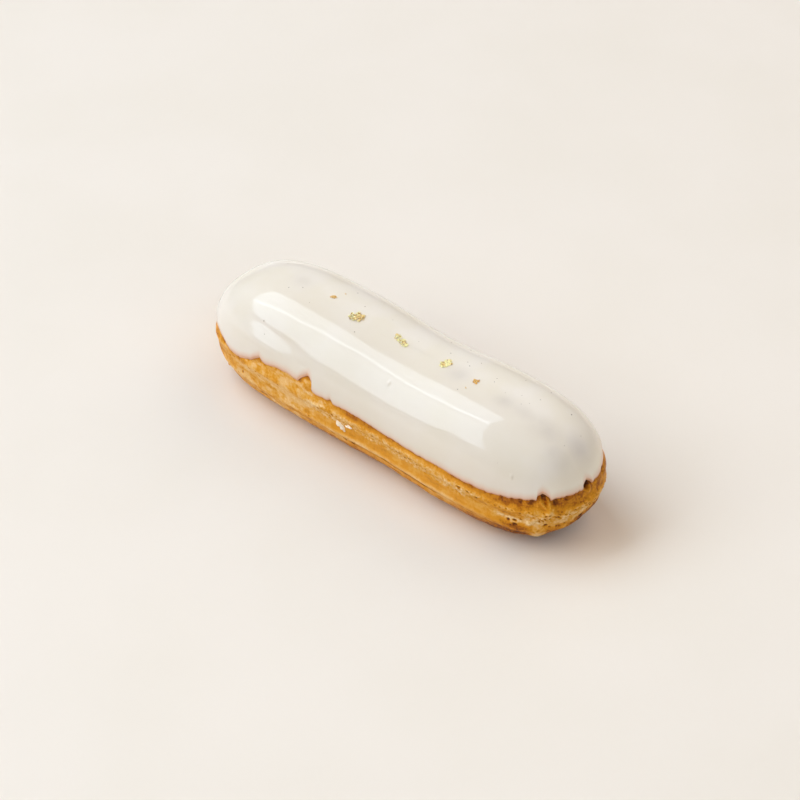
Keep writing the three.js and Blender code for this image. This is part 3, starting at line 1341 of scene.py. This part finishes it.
    def blister_pits(self) -> list[Pit]:
        """Makes the hollow under each blister of the icing's edge, painted darker: scorched crust and
        painted shade under the icing.

        Returns:
            The hollows.
        """
        pits = []
        for pocket in self.edge.blisters:
            size = pocket.size
            height = float(self.edge.at(np.array([pocket.run]))[0]) - self.blister_drop * size
            along, up, depth = self.blister_along * size, self.blister_up * size, self.blister_depth * size
            bake = self.blister_darkness + self.blister_darken * size
            pits.append(Pit(pocket.run, height, along, up, depth, bake))
        return pits

    def seam_pits(self) -> list[Pit]:
        """Scatters pits along the crests' seams, fewer along the start.

        Returns:
            Dashes along the upper crest, and slits and dots along the lower one.
        """
        draw = np.random.default_rng(self.seed)
        pits = []
        run = 0.0
        while run < FORM.full_run:
            run += self.seam_steps.drawn(draw)
            height = self.seam_height + draw.normal(0, self.seam_spread)
            pits.append(self.dash.pit(run, height, draw))
            if draw.random() < self.slit_chance:
                height = self.slit_height + self.slit_spread.drawn(draw)
                pits.append(self.slit.pit(run, height, draw))
            if draw.random() < self.dot_chance:
                height = self.crests[1].height + self.dot_spread.drawn(draw)
                pits.append(self.dot.pit(run, height, draw))
        calm = [float(self.start(np.array(pit.run))) > self.calm_from for pit in pits]
        return [pit for index, pit in enumerate(pits) if index % self.calm_keep == 0 or not calm[index]]

    def end_pits(self) -> list[Pit]:
        """Scatters pocks where the crust is most broken.

        Returns:
            The pocks.
        """
        draw = np.random.default_rng(self.seed + 1)
        pits = []
        for stretch in self.pocks:
            for _ in range(stretch.count):
                size = self.pock_sizes.drawn(draw)
                run = stretch.run + draw.normal(0, stretch.spread)
                height, up = self.pock_heights.drawn(draw), size * self.pock_squat.drawn(draw)
                pits.append(Pit(run, height, size, up, self.pock_depth * size, self.pock_darkness.drawn(draw)))
        return pits

    def pitted(self, run: Array, height: Array) -> tuple[Array, Array]:
        """Adds up the pits.

        Args:
            run: Distances round the eclair.
            height: Heights on the outer form.

        Returns:
            How deep the pits go, and how dark they are painted: scorched crust and painted shade in the
            hollows.
        """
        depth = np.zeros(run.shape)
        bake = np.zeros(run.shape)
        for pit in self.pits:
            away, above = FORM.run_between(run, pit.run), height - pit.height
            near = (np.abs(away) < self.pit_reach * pit.along) & (np.abs(above) < self.pit_reach * pit.up)
            inside = bell(away[near], pit.along) * bell(above[near], pit.up)
            depth[near] = np.maximum(depth[near], pit.depth * inside)
            bake[near] = np.maximum(bake[near], pit.bake * self.pit_darkening.rise(inside))
        return depth, bake

    def tail(self, run: Array) -> Array:
        """Gives 1 round the tail end, fading to 0 along both sides."""
        return self.tail_fade.fall(np.abs(FORM.run_between(run, self.tail_run)))

    def start(self, run: Array) -> Array:
        """Gives 1 along the first part of the near side and round its end, fading to 0 onwards."""
        return self.start_fade.fall(np.abs(FORM.run_between(run, self.start_run)))

    def zones(self, run: Array, height: Array, tone: Array) -> Zones:
        """Finds the crust's zones.

        Args:
            run: Distances round the eclair.
            height: Heights on the outer form.
            tone: The tone there, which tells the pale crests.

        Returns:
            The zones.
        """
        start = self.start(run)
        pale = self.pale_tones.rise(tone) * self.pale_heights.rise(height) * (1 - self.pale_start * start)
        return Zones(self.tail(run), start, self.low_heights.fall(height), pale)

    def ridges(self, run: Array, height: Array) -> tuple[Array, Array, Array]:
        """Works out the piped ridges, lumps, strokes and fingers.

        Args:
            run: Distances round the eclair.
            height: Heights on the outer form.

        Returns:
            How far the side stands out from the outer form, its tone before the crust's own grain,
            and where strokes and fingers are drawn.
        """
        level = height - self.sway * self.grain.smooth(FORM.unrolled(run, 0 * height, self.sway_length, 1))
        uneven = self.uneven_weave.over(self.grain, run, height)
        tone = np.interp(level, *zip(*self.tones))
        tone = blend(tone, np.interp(level, *zip(*self.tail_tones)), self.tail(run))
        tone = blend(tone, np.interp(level, *zip(*self.start_tones)), self.start(run))
        side = np.full(run.shape, -self.valley_depth)
        share = self.crest_share + self.crest_uneven * uneven
        share *= 1 - self.start_smoothing * self.start(run)
        for crest in self.crests:
            side += crest.rise * share * bell(level - crest.height, crest.reach)
        for lump in self.lumps:
            side += lump.over(run, height)
        for patch in self.patches:
            tone += patch.over(run, height)
        drawn = np.zeros(run.shape)
        for stroke in self.strokes:
            along = np.array([stroke.end_run - stroke.run, stroke.end_height - stroke.height])
            ahead, above = FORM.run_between(run, stroke.run), height - stroke.height
            share = np.clip((ahead * along[0] + above * along[1]) / (along @ along), 0, 1)
            line = bell(np.hypot(ahead - share * along[0], above - share * along[1]), stroke.half)
            side += stroke.rise * line
            drawn = np.maximum(drawn, self.stroke_share * line)
        for ring in self.rings:
            above = height - ring.height
            across = (FORM.run_between(run, ring.run) - ring.lean * above) / ring.along
            away = np.hypot(across, above / ring.up)
            rim = bell(away - self.rim_at, self.rim_half)
            inside = self.hollow_within.fall(away)
            side += ring.rim * rim - ring.hollow * inside
            # The hollow is painted darker: browner dough and painted shade.
            tone -= self.hollow_shade_tone * inside
            drawn = np.maximum(drawn, self.rim_share * rim)
        return side, tone, drawn

    def crust(self, run: Array, height: Array) -> tuple[Array, dict[str, Array]]:
        """Works out the crust's relief and its tone.

        Args:
            run: Distances round the eclair, the same in each row.
            height: Heights on the outer form.

        Returns:
            How far the crust stands out from the outer form, and the marks for its finish.
        """
        grain = self.grain
        side, tone, drawn = self.ridges(run, height)
        pit, bake = self.pitted(run, height)
        below = self.edge.at(run[:1]) - height
        joins = grain.joins(FORM.unrolled(run, height, self.nodule_along, self.nodule_up))
        nodule = self.nodule_joins.rise(joins)
        clump = self.clump_weave.over(grain, run, height)
        mottle = self.mottle_weave.over(grain, run, height)
        fine = self.fine_weave.over(grain, run, height)
        streak = self.streak_weave.over(grain, run, height)
        brush = self.brush_weave.over(grain, run, height)
        zones = self.zones(run, height, tone + self.pale_clump * clump)
        crackle = zones.pale * (1 - nodule)
        # Painted shade under the icing's lip: a dark line right at the edge, partly toasted crust, and a
        # wider band below it. Round the tail, darker upright streaks (teeth) lie in the same band.
        line = self.shade_line_within.fall(below)
        shade = bell(below - self.shade_at, self.shade_reach)
        teeth = bell(below - self.teeth_at, self.teeth_reach) * self.teeth_brush.rise(brush)
        reliefs = (
            (self.nodule_rise, nodule),
            (self.pale_rise, 1),
            (self.fine_rise, fine),
            (self.streak_rise, streak),
            (self.brush_rise, brush),
        )
        tints = (
            (self.clump_tone, clump),
            (self.mottle_tone, mottle),
            (self.fine_tone, fine),
            (self.streak_tone, streak),
            (self.brush_tone, brush),
            (self.zone_tone, 1),
            (self.crackle_tone, crackle),
            (self.shade_line_tone, line),
            (self.shade_tone, shade * (1 + self.shade_brush * brush)),
            (self.teeth_tone, teeth),
        )
        side += sum(strength.over(zones) * value for strength, value in reliefs) - pit
        side = blend(side, np.minimum(side, self.flush), self.flush_within.fall(below))
        side += self.crackle_rise.over(zones) * crackle
        side = blend(side * self.base_fade.rise(height), -self.icing_inset, self.cover.rise(-below))
        tone += sum(strength.over(zones) * value for strength, value in tints)
        tone = blend(tone, self.ridge_tone + self.ridge_fine * fine, drawn)
        # Pits darken the tone towards their middles: scorched crust, and painted shade in the hollows.
        tone = np.clip(tone, self.darkest + self.shade_lift * shade, self.palest.over(zones)) * (1 - bake)
        crumb = np.maximum(zones.pale, self.crumb.over(zones))
        return side, {"tone": tone, "crumb": crumb, "low": zones.low}

    def reach(self, run: Array, angle: Array) -> tuple[Array, dict[str, Array]]:
        """Gives how far the bun reaches.

        Args:
            run: Where each ray starts and which way it faces.
            angle: Its angle above the level, in radians.

        Returns:
            The lengths of the rays, and the marks for the finish.
        """
        bare = FORM.reach(run, angle)
        relief, marks = self.crust(run, FORM.belly_height + bare * np.sin(angle))
        return bare + relief, marks

    def row_angles(self) -> Array:
        """Gives the rows' angles, close together down the side that shows.

        Returns:
            Angles from the crown down to the base.
        """
        band_top = float(FORM.angle_at(self.band_top))
        crown = np.linspace(math.pi / 2, band_top, self.crown_rows, endpoint=False)
        band = FORM.angle_at(np.linspace(self.band_top, self.band_foot, self.band_rows))
        base = np.linspace(float(FORM.angle_at(0)), -math.pi / 2, self.base_rows)
        return np.concatenate([crown, band, base])

    def build(self) -> bpy.types.Object:
        """Makes and dresses the bun.

        Returns:
            The bun, closed over its top and base.
        """
        columns = FORM.columns(self.fine_columns, self.coarse_columns)
        run, angle = np.meshgrid(columns, self.row_angles())
        reach, marks = self.reach(run, angle)
        piece = MeshMaker.sheet("choux_crust", FORM.points(run, angle, reach), marks)
        dress(piece, self.finish.build(), Node.CHOUX)
        return piece


@dataclass(frozen=True)
class Smudge:
    """A soft grey place where the icing is thin, by its place on the top."""

    x: float
    y: float
    along: float
    across: float
    share: float


@dataclass(frozen=True)
class WarmStretch:
    """A stretch of the icing's edge that takes more of the warm tint, partly painted bounce light: its
    place, its reach and its share.
    """

    run: float
    reach: float
    share: float


@dataclass
class IcingShell:
    """The poured icing, with its sags, uneven edge and notches."""

    bun: ChouxBun
    gap: float = 0.15
    thinnest: float = 0.12
    edge_round: float = 1.5
    fine_columns: int = 640
    coarse_columns: int = 270
    outer_rows: int = 62
    edge_rows: int = 12
    inner_rows: int = 8
    wave: float = 0.03
    wave_length: float = 9
    thin_even: float = 0.7
    thin_mottle: float = 0.3
    thin_length: float = 3.5
    blushes: tuple[tuple[float, Span], ...] = ((0.38, Span(0.4, 3.2)), (0.68, Span(0, 1.1)))
    end_blush: float = 0.6
    flank_shade_share: float = 0.58
    flank_shade_least: float = 0.45
    flank_shade_across: Span = Span(-9, 4)
    flank_shade_from: Span = Span(-52, -30)
    flank_shade_to: Span = Span(50, 64)
    thick_light_share: float = 0.5
    thick_light_from: Span = Span(60, 66)
    thick_light_below: Span = Span(24, 30)
    seed: int = 23
    finish: IcingFinish = IcingFinish()
    sags: tuple[Oval, ...] = (
        Oval(-43.7, 26.45, 5.1, 1.4, 0.13),
        Oval(-33.2, 25.6, 5.6, 1.4, 0.08),
        Oval(-28.3, 28.5, 9.1, 2.3, -0.31),
        Oval(-40.2, 25.8, 9.7, 1.3, 0.26),
        Oval(-37.7, 30.1, 11.1, 1.6, -0.31),
        Oval(-7.3, 31.3, 13.9, 3.6, -0.18),
        Oval(40, 31.7, 8.2, 4.8, 0.08),
        Oval(-30, 33, 3.5, 2, 0.05),
        Oval(-21, 33, 3, 2, -0.05),
        Oval(-12, 31.8, 5, 3, 0.1),
        Oval(9, 32, 10, 3, -0.1),
        Oval(24, 33, 4, 2, -0.05),
        Oval(32, 31.5, 4, 2.5, 0.15),
        Oval(6.6, 31.6, 0.5, 0.5, 0.2),
        Oval(55.3, 26, 0.45, 0.45, 0.3),
    )
    warm_stretches: tuple[WarmStretch, ...] = (
        WarmStretch(-44, 6, 0.6),
        WarmStretch(42, 11, 0.7),
    )
    smudges: tuple[Smudge, ...] = (
        Smudge(22, -1.9, 3.4, 3.0, 0.75),
        Smudge(40.5, -3, 3.6, 2.6, 0.7),
        Smudge(47, -2.8, 5.5, 2.2, 0.65),
        Smudge(55, -3, 5, 4, 0.6),
        Smudge(62, -6, 5, 4, 0.45),
        Smudge(64, 1, 4, 3.6, 0.65),
        Smudge(-41, 1.3, 4, 3, 0.4),
    )

    def __post_init__(self) -> None:
        """Draws the icing's noise."""
        self.grain = Grain(self.seed)

    def outer_reach(self, run: Array, angle: Array) -> Array:
        """Gives how far the icing's outer face reaches along rays.

        Args:
            run: Distances round the eclair.
            angle: The rays' angles.

        Returns:
            The lengths of the rays.
        """
        bare = FORM.reach(run, angle)
        place = FORM.points(run, angle, bare)
        rise = self.wave * self.grain.smooth(place / self.wave_length)
        for sag in self.sags:
            rise += sag.over(run, place[..., 2])
        return bare + rise

    def marks(self, grid: Array, run: Array, above_edge: Array) -> dict[str, Array]:
        """Works out where the icing is thin, where its edge takes the warm tint (partly painted bounce
        light), and where shade and light are painted on the near flank and low round the tail end.

        Args:
            grid: Places on the icing.
            run: How far round each is.
            above_edge: How far each is above the lower edge.

        Returns:
            The marks for the finish.
        """
        x, y, z = np.moveaxis(grid, -1, 0)
        thin = np.zeros(x.shape)
        for smudge in self.smudges:
            near = bell(x - smudge.x, smudge.along) * bell(y - smudge.y, smudge.across)
            thin = np.maximum(thin, smudge.share * near)
        thin *= self.thin_even + self.thin_mottle * self.grain.layered(grid / self.thin_length)
        # The warm tint along the lower edge, stronger round both ends and at the warm stretches: partly
        # crust through thin icing, partly painted bounce light.
        more = self.end_blush * (self.bun.tail(run) + self.bun.start(run))
        for warm_stretch in self.warm_stretches:
            more += warm_stretch.share * bell(FORM.run_between(run, warm_stretch.run), warm_stretch.reach)
        blush_and_bounce = (1 + more) * sum(share * within.fall(above_edge) for share, within in self.blushes)
        # Painted shade on the near flank, weaker along the start end and gone round the tail end.
        flank_shade = blend(self.flank_shade_least, 1, self.flank_shade_from.rise(x)) * self.flank_shade_to.fall(x)
        flank_shade *= self.flank_shade_share * self.flank_shade_across.fall(y)
        # Painted light low round the tail end of the icing.
        thick = self.thick_light_share * self.thick_light_from.rise(x) * self.thick_light_below.fall(z)
        return {"thin": thin, "blush_and_bounce": blush_and_bounce, "flank_shade": flank_shade, "thick": thick}

    def build(self) -> bpy.types.Object:
        """Makes and dresses the icing.

        Returns:
            The shell: down its outer face, round its edge and up its inner face.
        """
        runs = FORM.columns(self.fine_columns, self.coarse_columns)
        edge = FORM.angle_at(self.bun.edge.at(runs))
        rounded = edge + self.edge_round / (FORM.width / 2)
        crown = math.pi / 2
        angles, fullness = [], []
        for share in np.linspace(0, 1, self.outer_rows, endpoint=False):
            angles.append(blend(crown, rounded, share))
            fullness.append(1.0)
        for share in np.linspace(1, 0, self.edge_rows) ** 2:
            angles.append(blend(edge, rounded, share))
            fullness.append(math.sqrt(1 - (1 - share) ** 2))
        for share in np.linspace(0, 1, self.inner_rows + 1)[1:]:
            angles.append(blend(edge, crown, share))
            fullness.append(0.0)
        angle = np.stack(angles)
        run = np.broadcast_to(runs, angle.shape)
        outer = self.outer_reach(run, angle)
        inner = np.minimum(self.bun.reach(run, angle)[0] + self.gap, outer - self.thinnest)
        grid = FORM.points(run, angle, blend(inner, outer, np.array(fullness)[:, None]))
        marks = self.marks(grid, run, (angle - edge) * FORM.width / 2)
        piece = MeshMaker.sheet("poured_icing", grid, marks)
        dress(piece, self.finish.build(), Node.ICING)
        return piece


@dataclass
class IcingSplash:
    """The splash of icing that fell on the near side, as beads that run together and lean."""

    bun: ChouxBun
    first_run: float = -9.5
    last_run: float = -1.5
    foot: float = 10
    top: float = 15
    columns: int = 90
    rows: int = 60
    sunk: float = 0.1
    root: float = 0.3
    lean: float = 0.5
    round_power: float = 0.6
    uneven: float = 0.25
    uneven_weave: Weave = Weave(0.8, 0.6, 2)
    # A little of the edge's warm tint, partly painted bounce light.
    blush_and_bounce: float = 0.05
    seed: int = 23
    beads: tuple[Oval, ...] = (
        Oval(-7.6, 12.5, 1.05, 0.85, 0.9),
        Oval(-6.5, 11.8, 0.85, 1.0, 0.8),
        Oval(-5.9, 11.0, 0.45, 0.65, 0.5),
        Oval(-3.6, 13.3, 1.05, 0.45, 0.6),
        Oval(-4.8, 12.7, 0.65, 0.25, 0.3),
    )

    def build(self) -> bpy.types.Object:
        """Makes and dresses the splash, in the icing's own material.

        Returns:
            The splash, as one piece that is partly sunk in the crust.
        """
        runs = np.linspace(self.first_run, self.last_run, self.columns)
        angles = FORM.angle_at(np.linspace(self.foot, self.top, self.rows))
        run, angle = np.meshgrid(runs, angles)
        reach = FORM.reach(run, angle) - self.bun.valley_depth
        height = FORM.belly_height + reach * np.sin(angle)
        reach = np.maximum(self.bun.reach(run, angle)[0], reach)
        thick = np.zeros(run.shape)
        for bead in self.beads:
            above = height - bead.height
            away = np.hypot((run - bead.run + self.lean * above) / bead.along, above / bead.up)
            thick = np.maximum(thick, bead.amount * np.maximum(1 - away**2, 0) ** self.round_power)
        thick *= 1 + self.uneven * self.uneven_weave.over(Grain(self.seed), run, height)
        top = FORM.points(run, angle, reach + thick - self.sunk)
        bottom = FORM.points(run, angle, reach - self.root)
        # The splash takes the light colour all over: thick icing, with painted light on its side-facing
        # beads.
        piece = MeshMaker.slab("icing_drops", top, bottom, {"thick": 1.0, "blush_and_bounce": self.blush_and_bounce})
        dress(piece, bpy.data.materials["poured_icing"], Node.CHOUX)
        return piece


@dataclass(frozen=True)
class LeafCluster:
    """A cluster of leaf: its place, its spread before turning, and its flakes."""

    x: float
    y: float
    along: float
    across: float
    turn: float
    flakes: int
    size: float


@dataclass
class GoldLeaf:
    """Crumpled flakes of gold leaf on the icing's top."""

    seed: int = 8
    facets: int = 4
    tear: float = 0.28
    crumple: float = 0.3
    rounding: float = 0.18
    thickness: float = 0.03
    sizes: Span = Span(0.4, 0.9)
    lift: float = 0.1
    size_lift: float = 0.25
    next_turn: float = 2.4
    turn_drift: Span = Span(-0.4, 0.4)
    out_drift: Span = Span(0.2, 0.8)
    tilts: Span = Span(-0.2, 0.2)
    finish: LeafFinish = LeafFinish()
    clusters: tuple[LeafCluster, ...] = (
        LeafCluster(-16.9, -1.4, 4.8, 4.2, 45, 40, 0.65),
        LeafCluster(-0.5, -0.2, 6.4, 2.4, -17, 32, 0.6),
        LeafCluster(16.3, 0, 2.8, 4.6, 0, 30, 0.65),
        LeafCluster(-28.3, 0.9, 1.6, 1.6, 0, 9, 0.5),
        LeafCluster(28.7, -1.5, 2.0, 2.0, 0, 12, 0.55),
        LeafCluster(-26.8, 4.5, 0.7, 0.5, 0, 2, 0.35),
        LeafCluster(28, -5.3, 0.4, 0.4, 0, 2, 0.35),
    )

    def flake(self, size: float, draw: np.random.Generator) -> bmesh.types.BMesh:
        """Makes one torn, crumpled flake.

        Args:
            size: Its largest radius.
            draw: The random draws.

        Returns:
            The flake, lying flat at the origin.
        """
        part = bmesh.new()
        bmesh.ops.create_grid(part, x_segments=self.facets, y_segments=self.facets, size=size)
        for vertex in part.verts:
            push = draw.uniform(-1, 1, 3) * np.array([self.tear, self.tear, self.crumple]) * size
            vertex.co += Vector(push)
            vertex.co.xy *= 1 - self.rounding * (vertex.co.xy.length / size) ** 2
        bmesh.ops.solidify(part, geom=list(part.faces), thickness=self.thickness)
        return part

    def build(self) -> bpy.types.Object:
        """Makes and dresses the leaf.

        Returns:
            All the flakes, as one piece.
        """
        draw = np.random.default_rng(self.seed)
        parts = []
        for cluster in self.clusters:
            turn = Matrix.Rotation(math.radians(cluster.turn), 2)
            for index in range(cluster.flakes):
                out = math.sqrt((index + self.out_drift.drawn(draw)) / cluster.flakes) / 2
                around = index * self.next_turn + self.turn_drift.drawn(draw)
                away = Vector((cluster.along * math.cos(around), cluster.across * math.sin(around)))
                spot = turn @ (away * out)
                x, y = cluster.x + spot.x, cluster.y + spot.y
                size = cluster.size * self.sizes.drawn(draw)
                part = self.flake(size, draw)
                tilt = Euler((self.tilts.drawn(draw), self.tilts.drawn(draw), ANY_TURN.drawn(draw)))
                top = float(FORM.top_height(np.array(x), np.array(y)))
                place = Vector((x, y, top + self.lift + self.size_lift * size))
                part.transform(Matrix.LocRotScale(place, tilt, None))
                parts.append(part)
        piece = MeshMaker.joined("gold_leaf", parts, False)
        dress(piece, self.finish.build(), Node.ICING)
        return piece


@dataclass
class VanillaSpecks:
    """Ground vanilla caught in the icing's surface."""

    seed: int = 31
    radius: float = 0.18
    sizes: Span = Span(0.6, 1.15)
    squash: Span = Span(0.6, 1.0)
    scattered: int = 12
    scatter_along: Span = Span(-58, 58)
    scatter_across: Span = Span(4, 17)
    finish: SpeckFinish = SpeckFinish()
    seen: tuple[tuple[float, float], ...] = (
        (-18.5, 4.0), (-13.1, -6.5), (9.4, 10.4), (13.8, 5.0), (3.3, 3.1), (22.3, 3.3), (32.2, 3.5),
        (32.7, 1.8), (38.1, 0.0), (26.5, -6.9), (42.1, 2.4), (44.3, -0.6), (45.7, 1.3), (61.1, -2.2),
        (61.6, 4.6), (49.6, -17.0), (38.0, 9.3), (-41.9, -3.9), (-38.5, -1.4), (-32.0, -5.4),
        (-40.8, -15.9), (-38.7, -18.0),
    )

    def build(self) -> bpy.types.Object:
        """Makes and dresses the specks.

        Returns:
            All the specks, as one piece.
        """
        draw = np.random.default_rng(self.seed)
        spots = list(self.seen)
        for _ in range(self.scattered):
            spots.append((self.scatter_along.drawn(draw), self.scatter_across.drawn(draw)))
        parts = []
        for x, y in spots:
            part = bmesh.new()
            bmesh.ops.create_icosphere(part, subdivisions=1, radius=self.radius * self.sizes.drawn(draw))
            height = float(FORM.top_height(np.array(x), np.array(y)))
            turn = Euler([ANY_TURN.drawn(draw) for _ in range(3)])
            shape = Vector((1.0, self.squash.drawn(draw), self.squash.drawn(draw)))
            part.transform(Matrix.LocRotScale(Vector((x, y, height)), turn, shape))
            parts.append(part)
        piece = MeshMaker.joined("vanilla_specks", parts, True)
        dress(piece, self.finish.build(), Node.ICING)
        return piece


@dataclass(frozen=True)
class Lamp:
    """A rectangular lamp in a plane that faces the eclair, in shares of the plane's distance."""

    name: str
    facing: tuple[float, float, float]
    along: float
    across: float
    turn: float
    wide: float
    tall: float
    watts: float
    tint: tuple[float, float, float]
    mirrored: bool
    distance: float = 2.6

    def hang(self) -> None:
        """Hangs the lamp."""
        away = Vector(self.facing).normalized()
        level = Vector((0, 0, 1)).cross(away).normalized()
        upright = away.cross(level)
        turn = math.radians(self.turn)
        wide = level * math.cos(turn) + upright * math.sin(turn)
        tall = upright * math.cos(turn) - level * math.sin(turn)
        data = bpy.data.lights.new(self.name, "AREA")
        data.shape = "RECTANGLE"
        data.size = self.wide * self.distance
        data.size_y = self.tall * self.distance
        data.energy = self.watts
        data.color = self.tint
        hung = bpy.data.objects.new(self.name, data)
        bpy.context.scene.collection.objects.link(hung)
        spot = (away + wide * self.along + tall * self.across) * self.distance
        hung.matrix_world = Matrix.Translation(spot) @ Matrix((wide, tall, away)).transposed().to_4x4()
        hung.visible_camera = False
        hung.visible_glossy = self.mirrored


KEY_FACING = (-0.59, -0.236, 0.772)
KEY_TURN = -28.4
TUBE_TURN = KEY_TURN + 14
KEY_TINT = (0.716, 0.866, 1.0)


@dataclass
class Studio:
    """The floor, the lamps and the camera."""

    floor_side: float = 8.0
    azimuth: float = 41.58
    elevation: float = 39.0
    distance: float = 0.6791
    aim: tuple[float, float, float] = (-0.0118, 0.0119, 0.0)
    focal_pixels: float = 2232
    sensor: float = 36.0
    ambient: float = 0.12
    ambient_tint: tuple[float, float, float] = (1.0, 0.97, 0.93)
    finish: FloorFinish = FloorFinish()
    lamps: tuple[Lamp, ...] = (
        Lamp("softbox", KEY_FACING, 0.2, -0.01, KEY_TURN, 1.486, 0.564, 33.5, KEY_TINT, False),
        Lamp("panel", KEY_FACING, 0.2, -0.01, KEY_TURN, 1.486, 0.564, 44, KEY_TINT, True, 2.5),
        Lamp("tube", KEY_FACING, -0.087, -0.006, TUBE_TURN, 0.08, 0.58, 2.3, KEY_TINT, True, 2.4),
        Lamp("front_fill", (-0.1, -0.62, 0.78), 0, 0, 0, 1.2, 0.9, 26.6, (1.0, 0.748, 0.52), False),
        Lamp("right_fill", (0.75, -0.2, 0.63), 0, 0, 0, 1.0, 0.8, 19.4, (0.642, 0.852, 1.0), False),
        Lamp("back_fill", (0.1, 0.75, 0.65), 0, 0, 0, 1.2, 0.8, 30.8, (1.0, 0.836, 0.666), False),
    )

    def floor(self) -> None:
        """Lays the floor at the eclair's base."""
        bpy.ops.mesh.primitive_plane_add(size=self.floor_side, location=(0, 0, CAD_BOX[0].z))
        floor = bpy.context.object
        floor.name = "floor"
        floor.data.materials.append(self.finish.build())

    def light(self) -> None:
        """Hangs the lamps and sets the light that comes from all round."""
        world = bpy.data.worlds.new("studio")
        bpy.context.scene.world = world
        world.use_nodes = True
        background = world.node_tree.nodes["Background"]
        background.inputs["Color"].default_value = (*self.ambient_tint, 1)
        background.inputs["Strength"].default_value = self.ambient
        for lamp in self.lamps:
            lamp.hang()

    def camera(self) -> None:
        """Sets the camera at the photograph's angle and colours as they are."""
        data = bpy.data.cameras.new("camera")
        data.sensor_width = self.sensor
        data.lens = self.focal_pixels * self.sensor / PHOTO_SIDE
        camera = bpy.data.objects.new("camera", data)
        bpy.context.scene.collection.objects.link(camera)
        turn, rise = math.radians(self.azimuth), math.radians(self.elevation)
        back = Vector((math.sin(turn) * math.cos(rise), -math.cos(turn) * math.cos(rise), math.sin(rise)))
        camera.location = Vector(self.aim) + back * self.distance
        camera.rotation_mode = "QUATERNION"
        camera.rotation_quaternion = back.to_track_quat("Z", "Y")
        bpy.context.scene.camera = camera
        bpy.context.scene.view_settings.view_transform = "Standard"

    def build(self) -> None:
        """Sets up the whole studio."""
        self.floor()
        self.light()
        self.camera()


def main() -> None:
    """Builds the eclair's pieces in order, then their studio."""
    logging.basicConfig(level=logging.INFO, format="%(message)s")
    bun = ChouxBun(IcingEdge())
    for assembly in (bun, IcingShell(bun), IcingSplash(bun), GoldLeaf(), VanillaSpecks()):
        piece = assembly.build()
        LOG.info("%s: %d faces", piece.name, len(piece.data.polygons))
    Studio().build()


if __name__ == "__main__":
    main()
